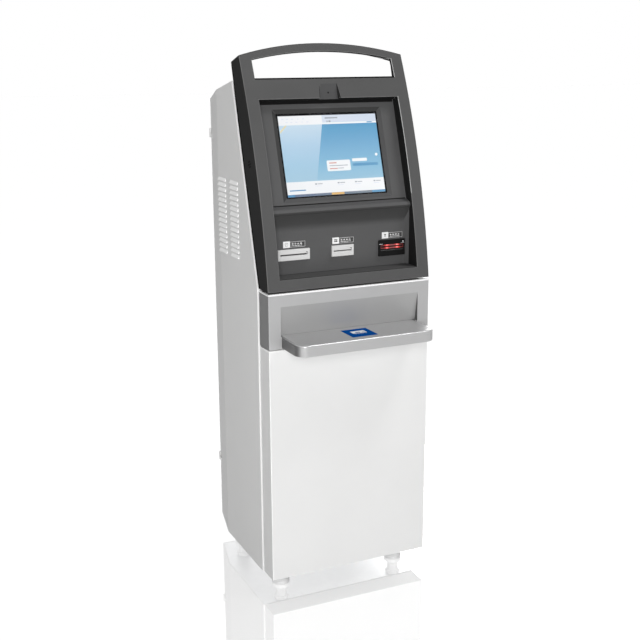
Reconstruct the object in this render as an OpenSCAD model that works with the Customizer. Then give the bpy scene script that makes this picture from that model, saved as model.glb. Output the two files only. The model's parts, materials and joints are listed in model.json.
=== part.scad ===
// Floor-standing payment kiosk: a white steel cabinet with a lower front door, a silver band with
// a shelf, and a dark head that leans back and lifts. Millimetres, Z up, the front faces -Y.

/* [Front parts] */
// Width of the lower door, the band and the head
front_w = 500; // [470:1:540]
// Depth of the lower door and the band, front face to rear edge
front_d = 66.5; // [62:0.5:76]
// Gap between the front parts and the cabinet behind them
seam = 3; // [2.5:0.5:5]
// Height of the lower door
door_h = 688; // [640:1:740]
// Gap between the lower door and the band
door_gap = 2; // [1:0.5:4]
// Height of the band
band_h = 156; // [150:1:180]
// Gap between the band and the head
band_gap = 5; // [3:0.5:8]

/* [Cabinet] */
// How far the cabinet stands out past the front parts on each side
cab_step = 4; // [3:0.5:6]
// Thickness of the sheet steel
sheet = 2; // [1.5:0.1:2.5]
// Depth of the flat part of a side panel
side_d = 294; // [285:1:330]
// Depth of the tapered rear part
taper_d = 144; // [120:1:170]
// How far the tapered part runs in on each side
taper_in = 31; // [20:1:40]
// Slope of the top, in degrees
top_slope = 12; // [8:0.5:15]
// Width of the folded flanges along the front and rear openings
flange = 18; // [15:1:22]
// Height of the turned-up edge of the base tray
tray_lip = 30; // [15:1:50]

/* [Louvres] */
// Louvres in one column
louvre_n = 15; // [8:1:16]
// Distance from one louvre to the next
louvre_pitch = 15; // [13:0.5:16]
// Length of a louvre
louvre_len = 60; // [40:1:62]
// Height of a louvre's hood
louvre_h = 9; // [7:0.5:11]
// How far a hood is pressed out
louvre_out = 5; // [4.5:0.5:7]
// Gap between the two columns
louvre_gap = 38; // [20:1:44]
// Height of the lowest louvre above the bottom of the cabinet
louvre_z = 911; // [880:1:940]

/* [Feet] */
// Height of a levelling foot
foot_h = 55; // [45:1:70]
// Radius of the rubber pad
foot_pad_r = 26; // [22:0.5:30]
// Radius of the foot's column
foot_r = 16; // [14:0.5:18]
// Radius of the stud
stud_r = 6; // [5:0.5:8]
// Distance of the feet from the sides of the cabinet
foot_in = 64; // [50:1:80]
// Distance of the front feet behind the front face
foot_front_y = 87; // [87:1:120]
// Distance of the rear feet behind the front face
foot_rear_y = 402; // [380:1:430]

/* [Band and shelf] */
// Distance of the niche's ends from the sides of the band
niche_side = 36; // [28:1:50]
// Height of the niche's upper edge above the bottom of the band
niche_h = 119; // [100:1:130]
// Depth of the niche at the top of the shelf
niche_d = 16; // [12:1:35]
// Height of the shelf's underside above the bottom of the band
shelf_z = 3; // [3:0.5:10]
// Thickness of the shelf
shelf_t = 32; // [24:1:36]
// Distance of the shelf's sides from the niche's ends
shelf_side = 2.5; // [1:0.5:8]
// How far the shelf stands out of the front face
shelf_out = 115; // [100:1:140]
// Radius of the shelf's front corners
shelf_r = 32; // [20:1:60]
// Wall of the shelf's hollow tray
shelf_wall = 2.5; // [1.5:0.1:4]
// Side of the square pad on the shelf
pad_w = 77; // [60:1:80]
// Distance of the pad's middle behind the shelf's front edge
pad_in = 64.5; // [50:0.5:70]
// Thickness of the pad
pad_t = 1; // [0.6:0.1:2]

/* [Head] */
// Lean of the head, in degrees
head_lean = 16.45; // [14:0.05:18]
// Radius of the curved front face
face_r = 2060; // [1800:10:2600]
// Rise of the arched top over the outer corners
arch_rise = 35; // [20:1:45]
// Wall of the head's shell
skin = 2.5; // [2:0.1:3]
// Width of the head's rear flange
head_flange = 12; // [8:0.5:13]
// Width of the frame beside the see-through opening
window_side = 35.5; // [30:0.5:50]
// Height of the bar between the recess and the opening
bar_h = 58; // [50:1:80]
// Height of the frame over the opening's upper corners
head_edge = 13; // [10:0.5:30]
// Height of the head's hinge above the opening's lower edge
hinge_rise = 15.8; // [8:0.1:17]
// Height of the opening's upper corners above its lower edge
window_h = 56; // [40:1:90]
// Rise of the opening's arched upper edge
window_rise = 24; // [12:1:28]
// Depth of the folded edge round the opening
window_edge = 10; // [6:1:14]
// Width of the frame beside the recess for the fascia
recess_side = 36.5; // [32:0.5:44]
// Height of the recess floor above the head's bottom
recess_z = 32; // [28:1:36]
// Height of the recess ceiling over the screen's bevel
screen_high = 21; // [12:0.5:40]
// Width of the hinge leaves
leaf_w = 24; // [18:1:28]

/* [Fascia] */
// Thickness of the fascia moulding
fascia_t = 3; // [2.5:0.1:3.5]
// Lean of the screen panel, in degrees
screen_lean = 17.7; // [17:0.1:18.2]
// Distance of the crease under the screen behind the front face
crease_y = 72.7; // [70:0.1:75]
// Height of the crease above the head's bottom
crease_z = 221; // [218:1:224]
// Radius of the rounded brow
brow_r = 10; // [8:0.5:11]
// Distance of the brow's centre below the crease
brow_drop = 15; // [13:0.5:16]
// Distance of the brow's centre before the crease
brow_out = 14.2; // [12:0.1:15]
// Distance of the slot panel behind the front face
pocket_y = 63; // [60:0.5:65]
// Depth of the slot panel's dished margins
dish_d = 10; // [6:0.5:11]
// Width of the dished side margins
dish_w = 12.5; // [8:0.5:12.5]
// Height of the dished upper margin
dish_h = 36; // [24:1:40]
// Width of the screen's visible area
lcd_w = 304; // [290:1:310]
// Height of the screen's visible area
lcd_h = 228; // [215:1:232]
// Height of the screen's bevel over the crease
screen_low = 8.5; // [5:0.5:20]
// Black border round the visible area
lcd_border = 4; // [2:0.5:6]
// Width of the bevel round the screen
bevel_w = 12.5; // [8:0.5:14]
// Depth of the bevel
bevel_d = 5; // [4:0.1:6]

/* [Slots] */
// Height of the slots above the head's bottom
slot_z = 88; // [84:1:94]
// Distance of the receipt slot's middle from the left of the recess
receipt_in = 65.5; // [62:0.5:72]
// Width of the receipt plate
receipt_w = 96; // [94:1:104]
// Height of the receipt plate and the card plate
plate_h = 31; // [26:1:34]
// Place of the card slot across the head
card_x = 2; // [-4:1:6]
// Width of the card plate
card_w = 68; // [66:1:76]
// Distance of the banknote entry's middle from the right of the recess
note_in = 54.5; // [54.5:0.5:64]
// Width of the banknote bezel
note_w = 84; // [80:1:84]
// Height of the banknote bezel
note_h = 46; // [40:1:50]
// Distance of the banknote bezel's middle below its entry
note_drop = 4; // [0:0.5:6]
// Thickness of the slot plates
plate_t = 7; // [4:0.5:9]

/* [Hidden] */

// Clearance between pieces that are bolted together, and between pieces that slide
fit = 0.2;
slide_gap = 0.3;
// Radial clearance of a pin or shaft in its bore
run = 0.05;
// Gap under a piece that is bolted to a sloped face
rest_gap = 0.05;
// Reach of a cut past the face that it starts from
over = 1;
// Size of a box that holds the whole head
huge = 1600;
$fn = 48;

// Places and sizes that follow from the ones above, measured from the door's bottom front edge
band_z = door_h + door_gap;
head_z = band_z + band_h + band_gap;
cab_y = front_d + seam;
cab_w = front_w + 2 * cab_step;
bend_y = cab_y + side_d;
rear_y = bend_y + taper_d;
rear_w = cab_w - 2 * taper_in;
inner_x = cab_w / 2 - sheet;
niche_w = front_w - 2 * niche_side;
shelf_top = band_z + shelf_z + shelf_t;
shelf_x = niche_w / 2 - shelf_side;
foot_x = cab_w / 2 - foot_in;
recess_w = front_w - 2 * recess_side;
window_w = front_w - 2 * window_side;
receipt_x = receipt_in - recess_w / 2;
note_x = recess_w / 2 - note_in;

// Heights along the lean of the head, from the screen up to the arched top
lcd_z = screen_low + bevel_w + lcd_border + lcd_h / 2;
bevel_top = lcd_z + lcd_h / 2 + lcd_border + bevel_w;
recess_top = (crease_y + bevel_top * sin(screen_lean)) * sin(head_lean)
    + (crease_z + bevel_top * cos(screen_lean)) * cos(head_lean) + screen_high;
window_z = recess_top + bar_h;
window_top = window_z + window_h + window_rise;
window_r = (pow(window_w / 2, 2) + pow(window_rise, 2)) / (2 * window_rise);
head_len = window_z + window_h + head_edge;
head_top = head_len + arch_rise;
head_d = front_d * cos(head_lean);
arch_r = (pow(front_w / 2, 2) + pow(arch_rise, 2)) / (2 * arch_rise);
face_back = sqrt(pow(face_r, 2) - pow(head_len / 2, 2));
function face_y(z) = face_back - sqrt(pow(face_r, 2) - pow(z - head_len / 2, 2));
wall_back = head_d - 2 * skin - 1;

// Head hinge along the top front edge of the cabinet
head_barrel_r = 2.4;
head_pin_r = 1.2;
head_axis_drop = 1.5;
head_axis_l = window_z + hinge_rise;
head_axis_d = head_d + seam * cos(head_lean);
head_axis_y = head_axis_l * sin(head_lean) + head_axis_d * cos(head_lean);
head_axis_z = head_z + head_axis_l * cos(head_lean) - head_axis_d * sin(head_lean);
head_hinge_in = 30;
head_hinge_l = front_w - 2 * head_hinge_in;
head_knuckles = 9;
knuckle_clear = head_barrel_r + 1;

// Top of the cabinet, which slopes down to the rear
cab_h = head_axis_z + head_axis_drop;
cab_top_y = cab_y + tan(head_lean) * (cab_h - head_z);
function top_z(y) = cab_h - tan(top_slope) * (y - cab_top_y);
// Outside half width of the cabinet at a depth
function half_w(y) = y < bend_y ? cab_w / 2 : cab_w / 2 - taper_in * (y - bend_y) / taper_d;

// Upright barrel hinges of the two doors
barrel_r = 3.5;
hinge_pin_r = 2;
barrel_h = 13;
barrel_split = 0.3;
leaf_t = 1.5;
door_axis = [cab_w / 2 + 0.5, front_d - 2];
rear_axis = [-rear_w / 2 - 0.5, rear_y + barrel_r + slide_gap];
rear_reach = rear_axis[1] + barrel_r;
front_y = (shelf_out - rear_reach) / 2;
door_hinge_z = [door_h * 0.14, door_h * 0.86];
inlet_h = 60;
rear_bottom = tray_lip + inlet_h + 14;
rear_top = top_z(rear_y) - 3;
rear_hinge_in = 99;
rear_hinge_z = [rear_bottom + rear_hinge_in, rear_top - rear_hinge_in];

// Camera scoop above the recess
scoop_top_w = 51;
scoop_w = 62;
scoop_h = 42;
scoop_d = 13;
scoop_wall = 6;
pinhole_r = 2;
pinhole_z = recess_top + 17;
pinhole_y = face_y(recess_top) + scoop_d;

// Speakers behind the sides of the head
speaker_z = 355;
speaker_y = 19.3;
speaker_r = 16;
speaker_l = 20;
speaker_hole_r = 1.3;
speaker_ring = 7;

// Screen panel: the glass and the panel behind its window, and the frame that holds them
glass_t = 3;
glass_edge = 10;
lcd_t = 12;
lcd_edge = 8;
bracket_t = 2;
bracket_edge = 34;
bracket_w = 70;
post_r = 4;
glass_y = bevel_d + fit;
lcd_y = glass_y + glass_t + fit;
bracket_y = lcd_y + lcd_t + fit;

// Slot panel and the devices behind it
panel_rear = pocket_y + fascia_t;
device_front = panel_rear + 10;
device_z = head_z + 17;
nose_y = panel_rear + 1.5;
slot_mid = head_z + slot_z;
plate_edge = 8;
lip_edge = 4;

// Nodes in the frame whose origin is the middle of the door's bottom front edge
module kiosk() {
    translate([0, front_y, foot_h]) children();
}

// Frame of the head: Z runs up the lean from the head's bottom front edge, Y runs square to it
module head_frame() {
    kiosk() translate([0, 0, head_z]) rotate([-head_lean, 0, 0]) children();
}

// Frame of the screen panel: its origin is the middle of the crease under the screen
module screen_frame() {
    kiosk() translate([0, crease_y, head_z + crease_z]) rotate([-screen_lean, 0, 0]) children();
}

// Outline in Y and Z, drawn out along X about the middle
module yz_prism(points, w) {
    rotate([90, 0, 90]) linear_extrude(w, center = true) polygon(points);
}

// Outline in X and Z, drawn out along Y from y0 to y1
module xz_prism(points, y0, y1) {
    translate([0, y1, 0]) rotate([90, 0, 0]) linear_extrude(y1 - y0) polygon(points);
}

// Box from its limits
module block(x, y, z) {
    translate([x[0], y[0], z[0]]) cube([x[1] - x[0], y[1] - y[0], z[1] - z[0]]);
}

// Round bar along X, along Y
module rod_x(r, x0, x1, y, z) {
    translate([x0, y, z]) rotate([0, 90, 0]) cylinder(r = r, h = x1 - x0);
}

module rod_y(r, y0, y1, x, z) {
    translate([x, y1, z]) rotate([90, 0, 0]) cylinder(r = r, h = y1 - y0);
}

// Plan of the cabinet's inside, drawn in by a margin
module inside_plan(margin, y0, y1) {
    x0 = inner_x - margin;
    x1 = half_w(y1) - sheet - margin;
    polygon([[-x0, y0], [x0, y0], [x0, bend_y], [x1, y1], [-x1, y1], [-x0, bend_y]]);
}

// One hood of the louvres in X and Z, with its top at the panel's outer face
module hood(z) {
    fold = leaf_t * louvre_h / louvre_out;
    translate([0, z]) polygon([[-sheet, louvre_h - fold], [-sheet, louvre_h], [0, louvre_h],
        [louvre_out, 0], [louvre_out - leaf_t, 0], [0, louvre_h - fold]]);
}

module hood_end(z) {
    translate([0, z]) polygon([[-sheet, 0], [-sheet, louvre_h], [0, louvre_h], [louvre_out, 0]]);
}

module hood_slot(z) {
    fold = leaf_t * louvre_h / louvre_out;
    translate([-sheet - over, z]) square([sheet + 2 * over, louvre_h - fold]);
}

// Side panel on the right, with its folded flanges, tapered rear and louvres
module side_panel() {
    column_y = [for (i = [0, 1]) bend_y - sheet - (i + 1) * louvre_len - i * louvre_gap];
    rows = [for (i = [0 : louvre_n - 1]) louvre_z + i * louvre_pitch];
    outer = cab_w / 2;
    difference() {
        translate([outer - sheet / 2, 0, 0]) yz_prism([[cab_y, 0], [bend_y, 0],
            [bend_y, top_z(bend_y)], [cab_top_y, cab_h], [cab_y, head_z]], sheet);
        for (y = column_y)
            translate([outer, y + louvre_len - leaf_t, 0]) rotate([90, 0, 0])
                linear_extrude(louvre_len - 2 * leaf_t) for (z = rows) hood_slot(z);
    }
    for (y = column_y) {
        translate([outer, y + louvre_len, 0]) rotate([90, 0, 0])
            linear_extrude(louvre_len) for (z = rows) hood(z);
        for (end = [0, louvre_len - leaf_t])
            translate([outer, y + end + leaf_t, 0]) rotate([90, 0, 0])
                linear_extrude(leaf_t) for (z = rows) hood_end(z);
    }
    translate([outer - flange / 2, 0, 0]) yz_prism([[cab_y, 0], [cab_y + sheet, 0],
        [cab_y + sheet, head_z], [cab_top_y + sheet, top_z(cab_top_y + sheet)],
        [cab_top_y, cab_h], [cab_y, head_z]], flange);
    intersection() {
        linear_extrude(cab_h) polygon([[outer, bend_y], [rear_w / 2, rear_y],
            [rear_w / 2 - flange, rear_y], [rear_w / 2 - flange, rear_y - sheet],
            [half_w(rear_y - sheet) - sheet, rear_y - sheet], [outer - sheet, bend_y]]);
        yz_prism([[cab_y, 0], [rear_y + over, 0], [rear_y + over, top_z(rear_y + over)],
            [cab_y, top_z(cab_y)]], huge);
    }
}

module right_side_panel() {
    color("gainsboro") kiosk() side_panel();
}

module left_side_panel() {
    color("gainsboro") kiosk() mirror([1, 0, 0]) side_panel();
}

// Places of the four feet
foot_places = [for (y = [foot_front_y, foot_rear_y]) for (x = [-foot_x, foot_x]) [x, y]];

// Base tray, with welded nuts for the studs of the feet
module base_tray() {
    y0 = cab_y + sheet + fit;
    y1 = rear_y - sheet - fit;
    color("lightgray") kiosk() difference() {
        union() {
            difference() {
                linear_extrude(tray_lip) inside_plan(fit, y0, y1);
                translate([0, 0, sheet]) linear_extrude(tray_lip)
                    inside_plan(fit + sheet, y0 + sheet, y1 - sheet);
            }
            for (p = foot_places)
                translate([p[0], p[1], sheet / 2]) cylinder(r = nut_r, h = nut_h, $fn = 6);
        }
        for (p = foot_places)
            translate([p[0], p[1], -over]) cylinder(r = stud_r + run, h = nut_h + 2 * sheet + over);
    }
}

// Top panel between the side panels, with a folded lip behind the leaning front edge
module top_panel() {
    lip = 22;
    y0 = cab_top_y;
    y1 = rear_y - sheet - fit;
    lip_y = lip * sin(head_lean);
    lip_z = lip * cos(head_lean);
    back = sheet / cos(head_lean);
    color("gainsboro") kiosk() difference() {
        intersection() {
            yz_prism([[y0, cab_h], [y0 - lip_y + fit, cab_h - lip_z],
                [y0 - lip_y + back, cab_h - lip_z], [y0 + back, top_z(y0 + back) - sheet],
                [y1, top_z(y1) - sheet], [y1, top_z(y1)]], huge);
            linear_extrude(huge) inside_plan(fit, cab_y, y1);
        }
        for (side = [-1, 1])
            translate([side * (cab_w - flange) / 2, 0, 0])
                yz_prism([[y0 - lip_y - over, cab_h - lip_z - over],
                    [y0 - lip_y + 2 * back, cab_h - lip_z - over], [y0 + 2 * back, cab_h + over],
                    [y0 - lip_y - over, cab_h + over]], flange + 2 * fit);
        rod_x(head_barrel_r + slide_gap, -head_hinge_l / 2 - over, head_hinge_l / 2 + over,
            head_axis_y, head_axis_z);
    }
}

// Rail across the front between the lower door and the head, which carries the band and the shelf
module cross_rail() {
    lip = 20;
    y0 = cab_y + sheet + fit;
    z0 = band_z + shelf_z;
    z1 = band_z + band_h - shelf_z;
    x = inner_x - fit;
    color("lightgray") kiosk() difference() {
        block([-x, x], [y0, y0 + lip], [z0, z1]);
        block([-x - over, x + over], [y0 + sheet, y0 + lip + over], [z0 + sheet, z1 - sheet]);
    }
}

module rear_sill() {
    color("gainsboro") kiosk() difference() {
        union() {
            block([-rear_w / 2, rear_w / 2], [rear_y, rear_y + sheet], [0, rear_bottom - 2]);
            block([-inlet_w, inlet_w] + [inlet_x, inlet_x], [rear_y - sheet, rear_y],
                [inlet_z - inlet_h * 0.7, inlet_z + inlet_h * 0.7]);
        }
        block([-inlet_w / 2 - fit, inlet_w / 2 + fit] + [inlet_x, inlet_x],
            [rear_y - huge, rear_y + huge], [inlet_z - inlet_h / 2 - fit, inlet_z + inlet_h / 2 + fit]);
        for (x = sill_screw_x)
            rod_y(screw_r + run, rear_y - over, rear_y + sheet + over, x, sill_screw_z);
    }
}

// Silver band: a deep pan with a niche whose back slopes in to the top of the shelf
module band() {
    x = front_w / 2;
    z1 = band_z + band_h;
    nx = niche_w / 2;
    nz = band_z + niche_h;
    rail_y = cab_y + sheet + fit;
    lug_x = front_w / 2 - 3 * flange;
    color("silver") kiosk() {
        difference() {
            block([-x, x], [0, front_d], [band_z, z1]);
            block([-x + sheet, x - sheet], [sheet, front_d + over], [band_z + sheet, z1 - sheet]);
            block([-nx, nx], [-over, sheet + over], [shelf_top + fit, nz]);
            block([-shelf_x - fit, shelf_x + fit], [-over, sheet + over],
                [band_z + shelf_z - fit, shelf_top + 2 * fit]);
        }
        block([-lug_x, lug_x], [front_d - sheet, rail_y], [z1 - sheet, z1]);
        difference() {
            yz_prism([[0, nz], [0, nz + sheet], [sheet, nz + sheet], [niche_d + sheet, shelf_top + fit],
                [niche_d, shelf_top + fit]], niche_w + 2 * sheet);
            block([-nx - over - sheet, nx + over + sheet], [-over, 0], [0, huge]);
        }
        for (side = [-1, 1])
            translate([side * (nx + sheet / 2), 0, 0]) yz_prism([[0, nz + sheet], [0, shelf_top + fit],
                [niche_d + sheet, shelf_top + fit]], sheet);
    }
}

// Outline of the shelf in plan, drawn in by a margin
module shelf_plan(margin) {
    x = shelf_x - margin;
    r = max(shelf_r - margin, 1);
    y0 = -shelf_out + margin;
    y1 = cab_y + sheet - margin;
    translate([-x, y0 + r]) square([2 * x, y1 - y0 - r]);
    translate([-x + r, y0]) square([2 * (x - r), r + fit]);
    for (side = [-1, 1])
        translate([side * (x - r), y0 + r]) circle(r, $fn = 96);
}

module shelf_tray() {
    z0 = band_z + shelf_z;
    color("silver") kiosk() difference() {
        translate([0, 0, z0]) linear_extrude(shelf_t) shelf_plan(0);
        translate([0, 0, z0 - over]) linear_extrude(shelf_t - shelf_wall + over) shelf_plan(shelf_wall);
        translate([0, pad_y, shelf_top - shelf_wall])
            cylinder(r = pad_hole_r, h = shelf_wall + over);
    }
}

module shelf_base() {
    color("dimgray") kiosk() translate([0, 0, band_z + shelf_z]) linear_extrude(sheet)
        shelf_plan(shelf_wall + fit);
}

pad_y = pad_in - shelf_out;
pad_hole_r = pad_w * 0.3;

module shelf_pad() {
    color("steelblue") kiosk() translate([-pad_w / 2, pad_y - pad_w / 2, shelf_top])
        cube([pad_w, pad_w, pad_t]);
}

// Contactless reader that hangs under the top of the shelf, below the pad
module pad_reader() {
    h = 10;
    z1 = shelf_top - shelf_wall;
    color("darkgreen") kiosk() {
        block([-pad_w / 2, pad_w / 2], [pad_y - pad_w / 2, pad_y + pad_w / 2], [z1 - h, z1]);
        translate([0, pad_y, z1 - fit]) cylinder(r = pad_hole_r - slide_gap, h = shelf_wall);
    }
}

shelf_lip = 24;
shelf_y1 = bend_y - 4;

module device_shelf() {
    y0 = cab_y + sheet + fit + tan(head_lean) * (device_z - head_z);
    x = inner_x - fit;
    color("lightgray") kiosk() {
        block([-x, x], [y0, shelf_y1], [device_z - sheet, device_z]);
        block([-x, x], [shelf_y1 - sheet, shelf_y1], [device_z - shelf_lip, device_z]);
        for (side = [-1, 1])
            block([-sheet / 2, sheet / 2] + [side * (x - sheet / 2), side * (x - sheet / 2)],
                [y0, shelf_y1], [device_z - shelf_lip, device_z]);
    }
}

// Receipt printer: a body with a throat for the paper, a platen and a cradle for the roll
printer_w = 104;
printer_d = 114;
printer_h = 116;
throat_h = 4;
platen_r = 8;
platen_l = 84;
platen_axle_r = 3;
platen_y = device_front + 40;
platen_z = slot_mid - throat_h / 2 - platen_r + 0.5;
roll_r = 40;
roll_core_r = 12;
roll_w = 80;
throat_w = roll_w + 2;
spindle_r = 6;
roll_y = device_front + printer_d + roll_r + 10;
roll_z = device_z + roll_r + 16;
cradle_t = 3;

// Body of a device with a nose that reaches up to the slot panel
module device_box(x, w, d, h, nose_w, nose_h) {
    block([x - w / 2, x + w / 2], [device_front, device_front + d], [device_z, device_z + h]);
    block([x - nose_w / 2, x + nose_w / 2], [nose_y, device_front + over],
        [slot_mid - nose_h / 2, slot_mid + nose_h / 2]);
}

module printer_body() {
    wall = (printer_w - platen_l) / 2;
    color("dimgray") kiosk() difference() {
        device_box(receipt_x, printer_w, printer_d, printer_h, receipt_w - 2 * lip_edge,
            plate_h - 2 * lip_edge);
        block([receipt_x - throat_w / 2, receipt_x + throat_w / 2],
            [nose_y - over, device_front + printer_d + over],
            [slot_mid - throat_h / 2, slot_mid + throat_h / 2]);
        rod_x(platen_r + slide_gap, receipt_x - platen_l / 2 - slide_gap,
            receipt_x + platen_l / 2 + slide_gap, platen_y, platen_z);
        rod_x(platen_axle_r + run, receipt_x - platen_l / 2 - wall / 2,
            receipt_x + platen_l / 2 + wall / 2, platen_y, platen_z);
    }
}

module platen_roller() {
    wall = (printer_w - platen_l) / 2;
    color("black") kiosk() {
        rod_x(platen_r, receipt_x - platen_l / 2, receipt_x + platen_l / 2, platen_y, platen_z);
        rod_x(platen_axle_r, receipt_x - platen_l / 2 - wall / 2 + slide_gap,
            receipt_x + platen_l / 2 + wall / 2 - slide_gap, platen_y, platen_z);
    }
}

module roll_cradle() {
    x = printer_w / 2;
    y0 = device_front + printer_d + fit;
    y1 = roll_y + roll_core_r;
    color("lightgray") kiosk() difference() {
        union() {
            for (side = [-1, 1])
                block([-cradle_t / 2, cradle_t / 2] + [receipt_x, receipt_x]
                    + [side * (x - cradle_t / 2), side * (x - cradle_t / 2)],
                    [y0, y1], [device_z, roll_z + roll_core_r]);
            block([receipt_x - x, receipt_x + x], [y0, y1], [device_z, device_z + cradle_t]);
        }
        rod_x(spindle_r + run, receipt_x - x - over, receipt_x + x + over, roll_y, roll_z);
    }
}

module roll_spindle() {
    x = printer_w / 2;
    color("gray") kiosk() {
        rod_x(spindle_r, receipt_x - x, receipt_x + x, roll_y, roll_z);
        rod_x(roll_core_r - fit, receipt_x - roll_w / 2, receipt_x + roll_w / 2, roll_y, roll_z);
    }
}

module paper_roll() {
    color("white") kiosk() difference() {
        rod_x(roll_r, receipt_x - roll_w / 2, receipt_x + roll_w / 2, roll_y, roll_z);
        rod_x(roll_core_r, receipt_x - roll_w, receipt_x + roll_w, roll_y, roll_z);
    }
}

// Card reader behind the middle slot
reader_w = 84;
reader_d = 180;
reader_h = 104;
card_gap = 3;
card_slot = 58;

module card_reader() {
    color("dimgray") kiosk() difference() {
        device_box(card_x, reader_w, reader_d, reader_h, card_w - plate_edge, plate_h - 2 * lip_edge);
        block([card_x - card_slot / 2, card_x + card_slot / 2],
            [nose_y - over, device_front + reader_d - 40],
            [slot_mid - card_gap / 2, slot_mid + card_gap / 2]);
    }
}

// Banknote acceptor and the cassette that slides off behind it
acceptor_w = 92;
acceptor_d = 120;
acceptor_h = 132;
note_gap = 4;
note_slot = 70;
cassette_d = 146;
cassette_h = 118;
cassette_wall = 3;
cassette_grip = 14;

module note_acceptor() {
    color("dimgray") kiosk() difference() {
        device_box(note_x, acceptor_w, acceptor_d, acceptor_h, note_w - plate_edge,
            note_h - 2 * lip_edge);
        block([note_x - note_slot / 2, note_x + note_slot / 2],
            [nose_y - over, device_front + acceptor_d + over],
            [slot_mid - note_gap / 2, slot_mid + note_gap / 2]);
    }
}

module note_cassette() {
    x = acceptor_w / 2 - 2;
    y0 = device_front + acceptor_d + slide_gap;
    z0 = device_z + slide_gap;
    color("darkslategray") kiosk() difference() {
        union() {
            block([note_x - x, note_x + x], [y0, y0 + cassette_d], [z0, z0 + cassette_h]);
            difference() {
                rod_y(cassette_grip * 1.6, y0 + cassette_d - over, y0 + cassette_d + cassette_grip,
                    note_x, z0 + cassette_h / 2);
                rod_y(cassette_grip, y0 + cassette_d, y0 + cassette_d + cassette_grip + over,
                    note_x, z0 + cassette_h / 2);
            }
        }
        block([note_x - x + cassette_wall, note_x + x - cassette_wall],
            [y0 + cassette_wall, y0 + cassette_d - cassette_wall],
            [z0 + cassette_wall, z0 + cassette_h - cassette_wall]);
        block([note_x - note_slot / 2, note_x + note_slot / 2], [y0 - over, y0 + cassette_wall + over],
            [slot_mid - note_gap, slot_mid + note_gap]);
    }
}

// Computer and power supply on the base tray
case_x = [-150, 60];
case_y = [150, 400];
case_h = 104;
case_vent = 3;
case_vent_n = 8;
case_vent_pitch = 10;
case_vent_z = sheet + 16;
case_vent_d = 12;
case_vent_x = [case_x[0] + 20, case_x[1] - 70];
button_r = 5;
button_out = 3;
button_in = 8;
button_x = case_x[1] - 24;
button_z = sheet + case_h - 24;

module computer_case() {
    color("black") kiosk() difference() {
        block(case_x, case_y, [sheet, sheet + case_h]);
        for (i = [0 : case_vent_n - 1])
            translate([0, 0, case_vent_z + i * case_vent_pitch])
                block(case_vent_x, [case_y[1] - case_vent_d, case_y[1] + over], [0, case_vent]);
        rod_y(button_r + run * 2, case_y[1] - button_in - 2 * button_out, case_y[1] + over,
            button_x, button_z);
    }
}

module computer_button() {
    color("silver") kiosk()
        rod_y(button_r, case_y[1] - button_in, case_y[1] + button_out, button_x, button_z);
}

supply_x = [88, 162];
supply_y = [262, 412];
supply_h = 62;
supply_vent = 3;
supply_vent_n = 6;
supply_vent_pitch = 8;
supply_vent_d = 8;
supply_vent_in = 14;

module power_supply() {
    color("silver") kiosk() difference() {
        block(supply_x, supply_y, [sheet, sheet + supply_h]);
        for (i = [0 : supply_vent_n - 1])
            translate([supply_x[0] + supply_vent_in + i * supply_vent_pitch, 0, 0])
                block([0, supply_vent], [supply_y[1] - supply_vent_d, supply_y[1] + over],
                    [sheet + supply_vent_in, sheet + supply_h - supply_vent_in]);
    }
}

// Fan on the inside of the left panel, behind the louvres
fan_w = 120;
fan_t = 25;
fan_bore = 57;
fan_hub = 19;
fan_blades = 7;
fan_blade_t = 2;
fan_axle_r = 2.5;
fan_y = bend_y - sheet - louvre_len - louvre_gap / 2;
fan_z = louvre_z + louvre_n * louvre_pitch / 2;
fan_x = -inner_x + fit;

module fan_frame() {
    plate = 4;
    arm = 8;
    color("black") kiosk() difference() {
        union() {
            difference() {
                block([fan_x, fan_x + fan_t], [fan_y - fan_w / 2, fan_y + fan_w / 2],
                    [fan_z - fan_w / 2, fan_z + fan_w / 2]);
                rod_x(fan_bore, fan_x - over, fan_x + fan_t + over, fan_y, fan_z);
            }
            intersection() {
                rod_x(fan_bore + over, fan_x, fan_x + plate, fan_y, fan_z);
                union() {
                    rod_x(fan_hub, fan_x, fan_x + plate, fan_y, fan_z);
                    block([fan_x, fan_x + plate], [fan_y - fan_w, fan_y + fan_w],
                        [fan_z - arm / 2, fan_z + arm / 2]);
                    block([fan_x, fan_x + plate], [fan_y - arm / 2, fan_y + arm / 2],
                        [fan_z - fan_w, fan_z + fan_w]);
                }
            }
        }
        rod_x(fan_axle_r + run, fan_x - over, fan_x + plate + over, fan_y, fan_z);
    }
}

module fan_rotor() {
    plate = 4;
    x0 = fan_x + plate + slide_gap;
    x1 = fan_x + fan_t - 1;
    color("dimgray") kiosk() {
        rod_x(fan_axle_r, fan_x, x0 + over, fan_y, fan_z);
        rod_x(fan_hub, x0, x1, fan_y, fan_z);
        translate([(x0 + x1) / 2, fan_y, fan_z]) for (i = [0 : fan_blades - 1])
            rotate([i * 360 / fan_blades, 0, 0]) rotate([0, 0, 38])
                translate([-(x1 - x0) * 0.55, -fan_blade_t / 2, fan_hub - 2])
                    cube([(x1 - x0) * 1.1, fan_blade_t, fan_bore - fan_hub]);
    }
}

// Mains inlet with its rocker, in the rear sill
inlet_w = 28;
inlet_x = 120;
inlet_z = tray_lip + inlet_h / 2 + 4;
inlet_rim = 3;
rocker_w = 12;
rocker_h = 20;
rocker_z = inlet_z + 15;
rocker_pin_r = 1.5;
rocker_stub = 3;
rocker_y = rear_y + sheet;
screw_r = 2.5;
sill_screw_x = [for (side = [-1, 1]) side * (rear_w - flange) / 2];
sill_screw_z = rear_bottom / 2;

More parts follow.
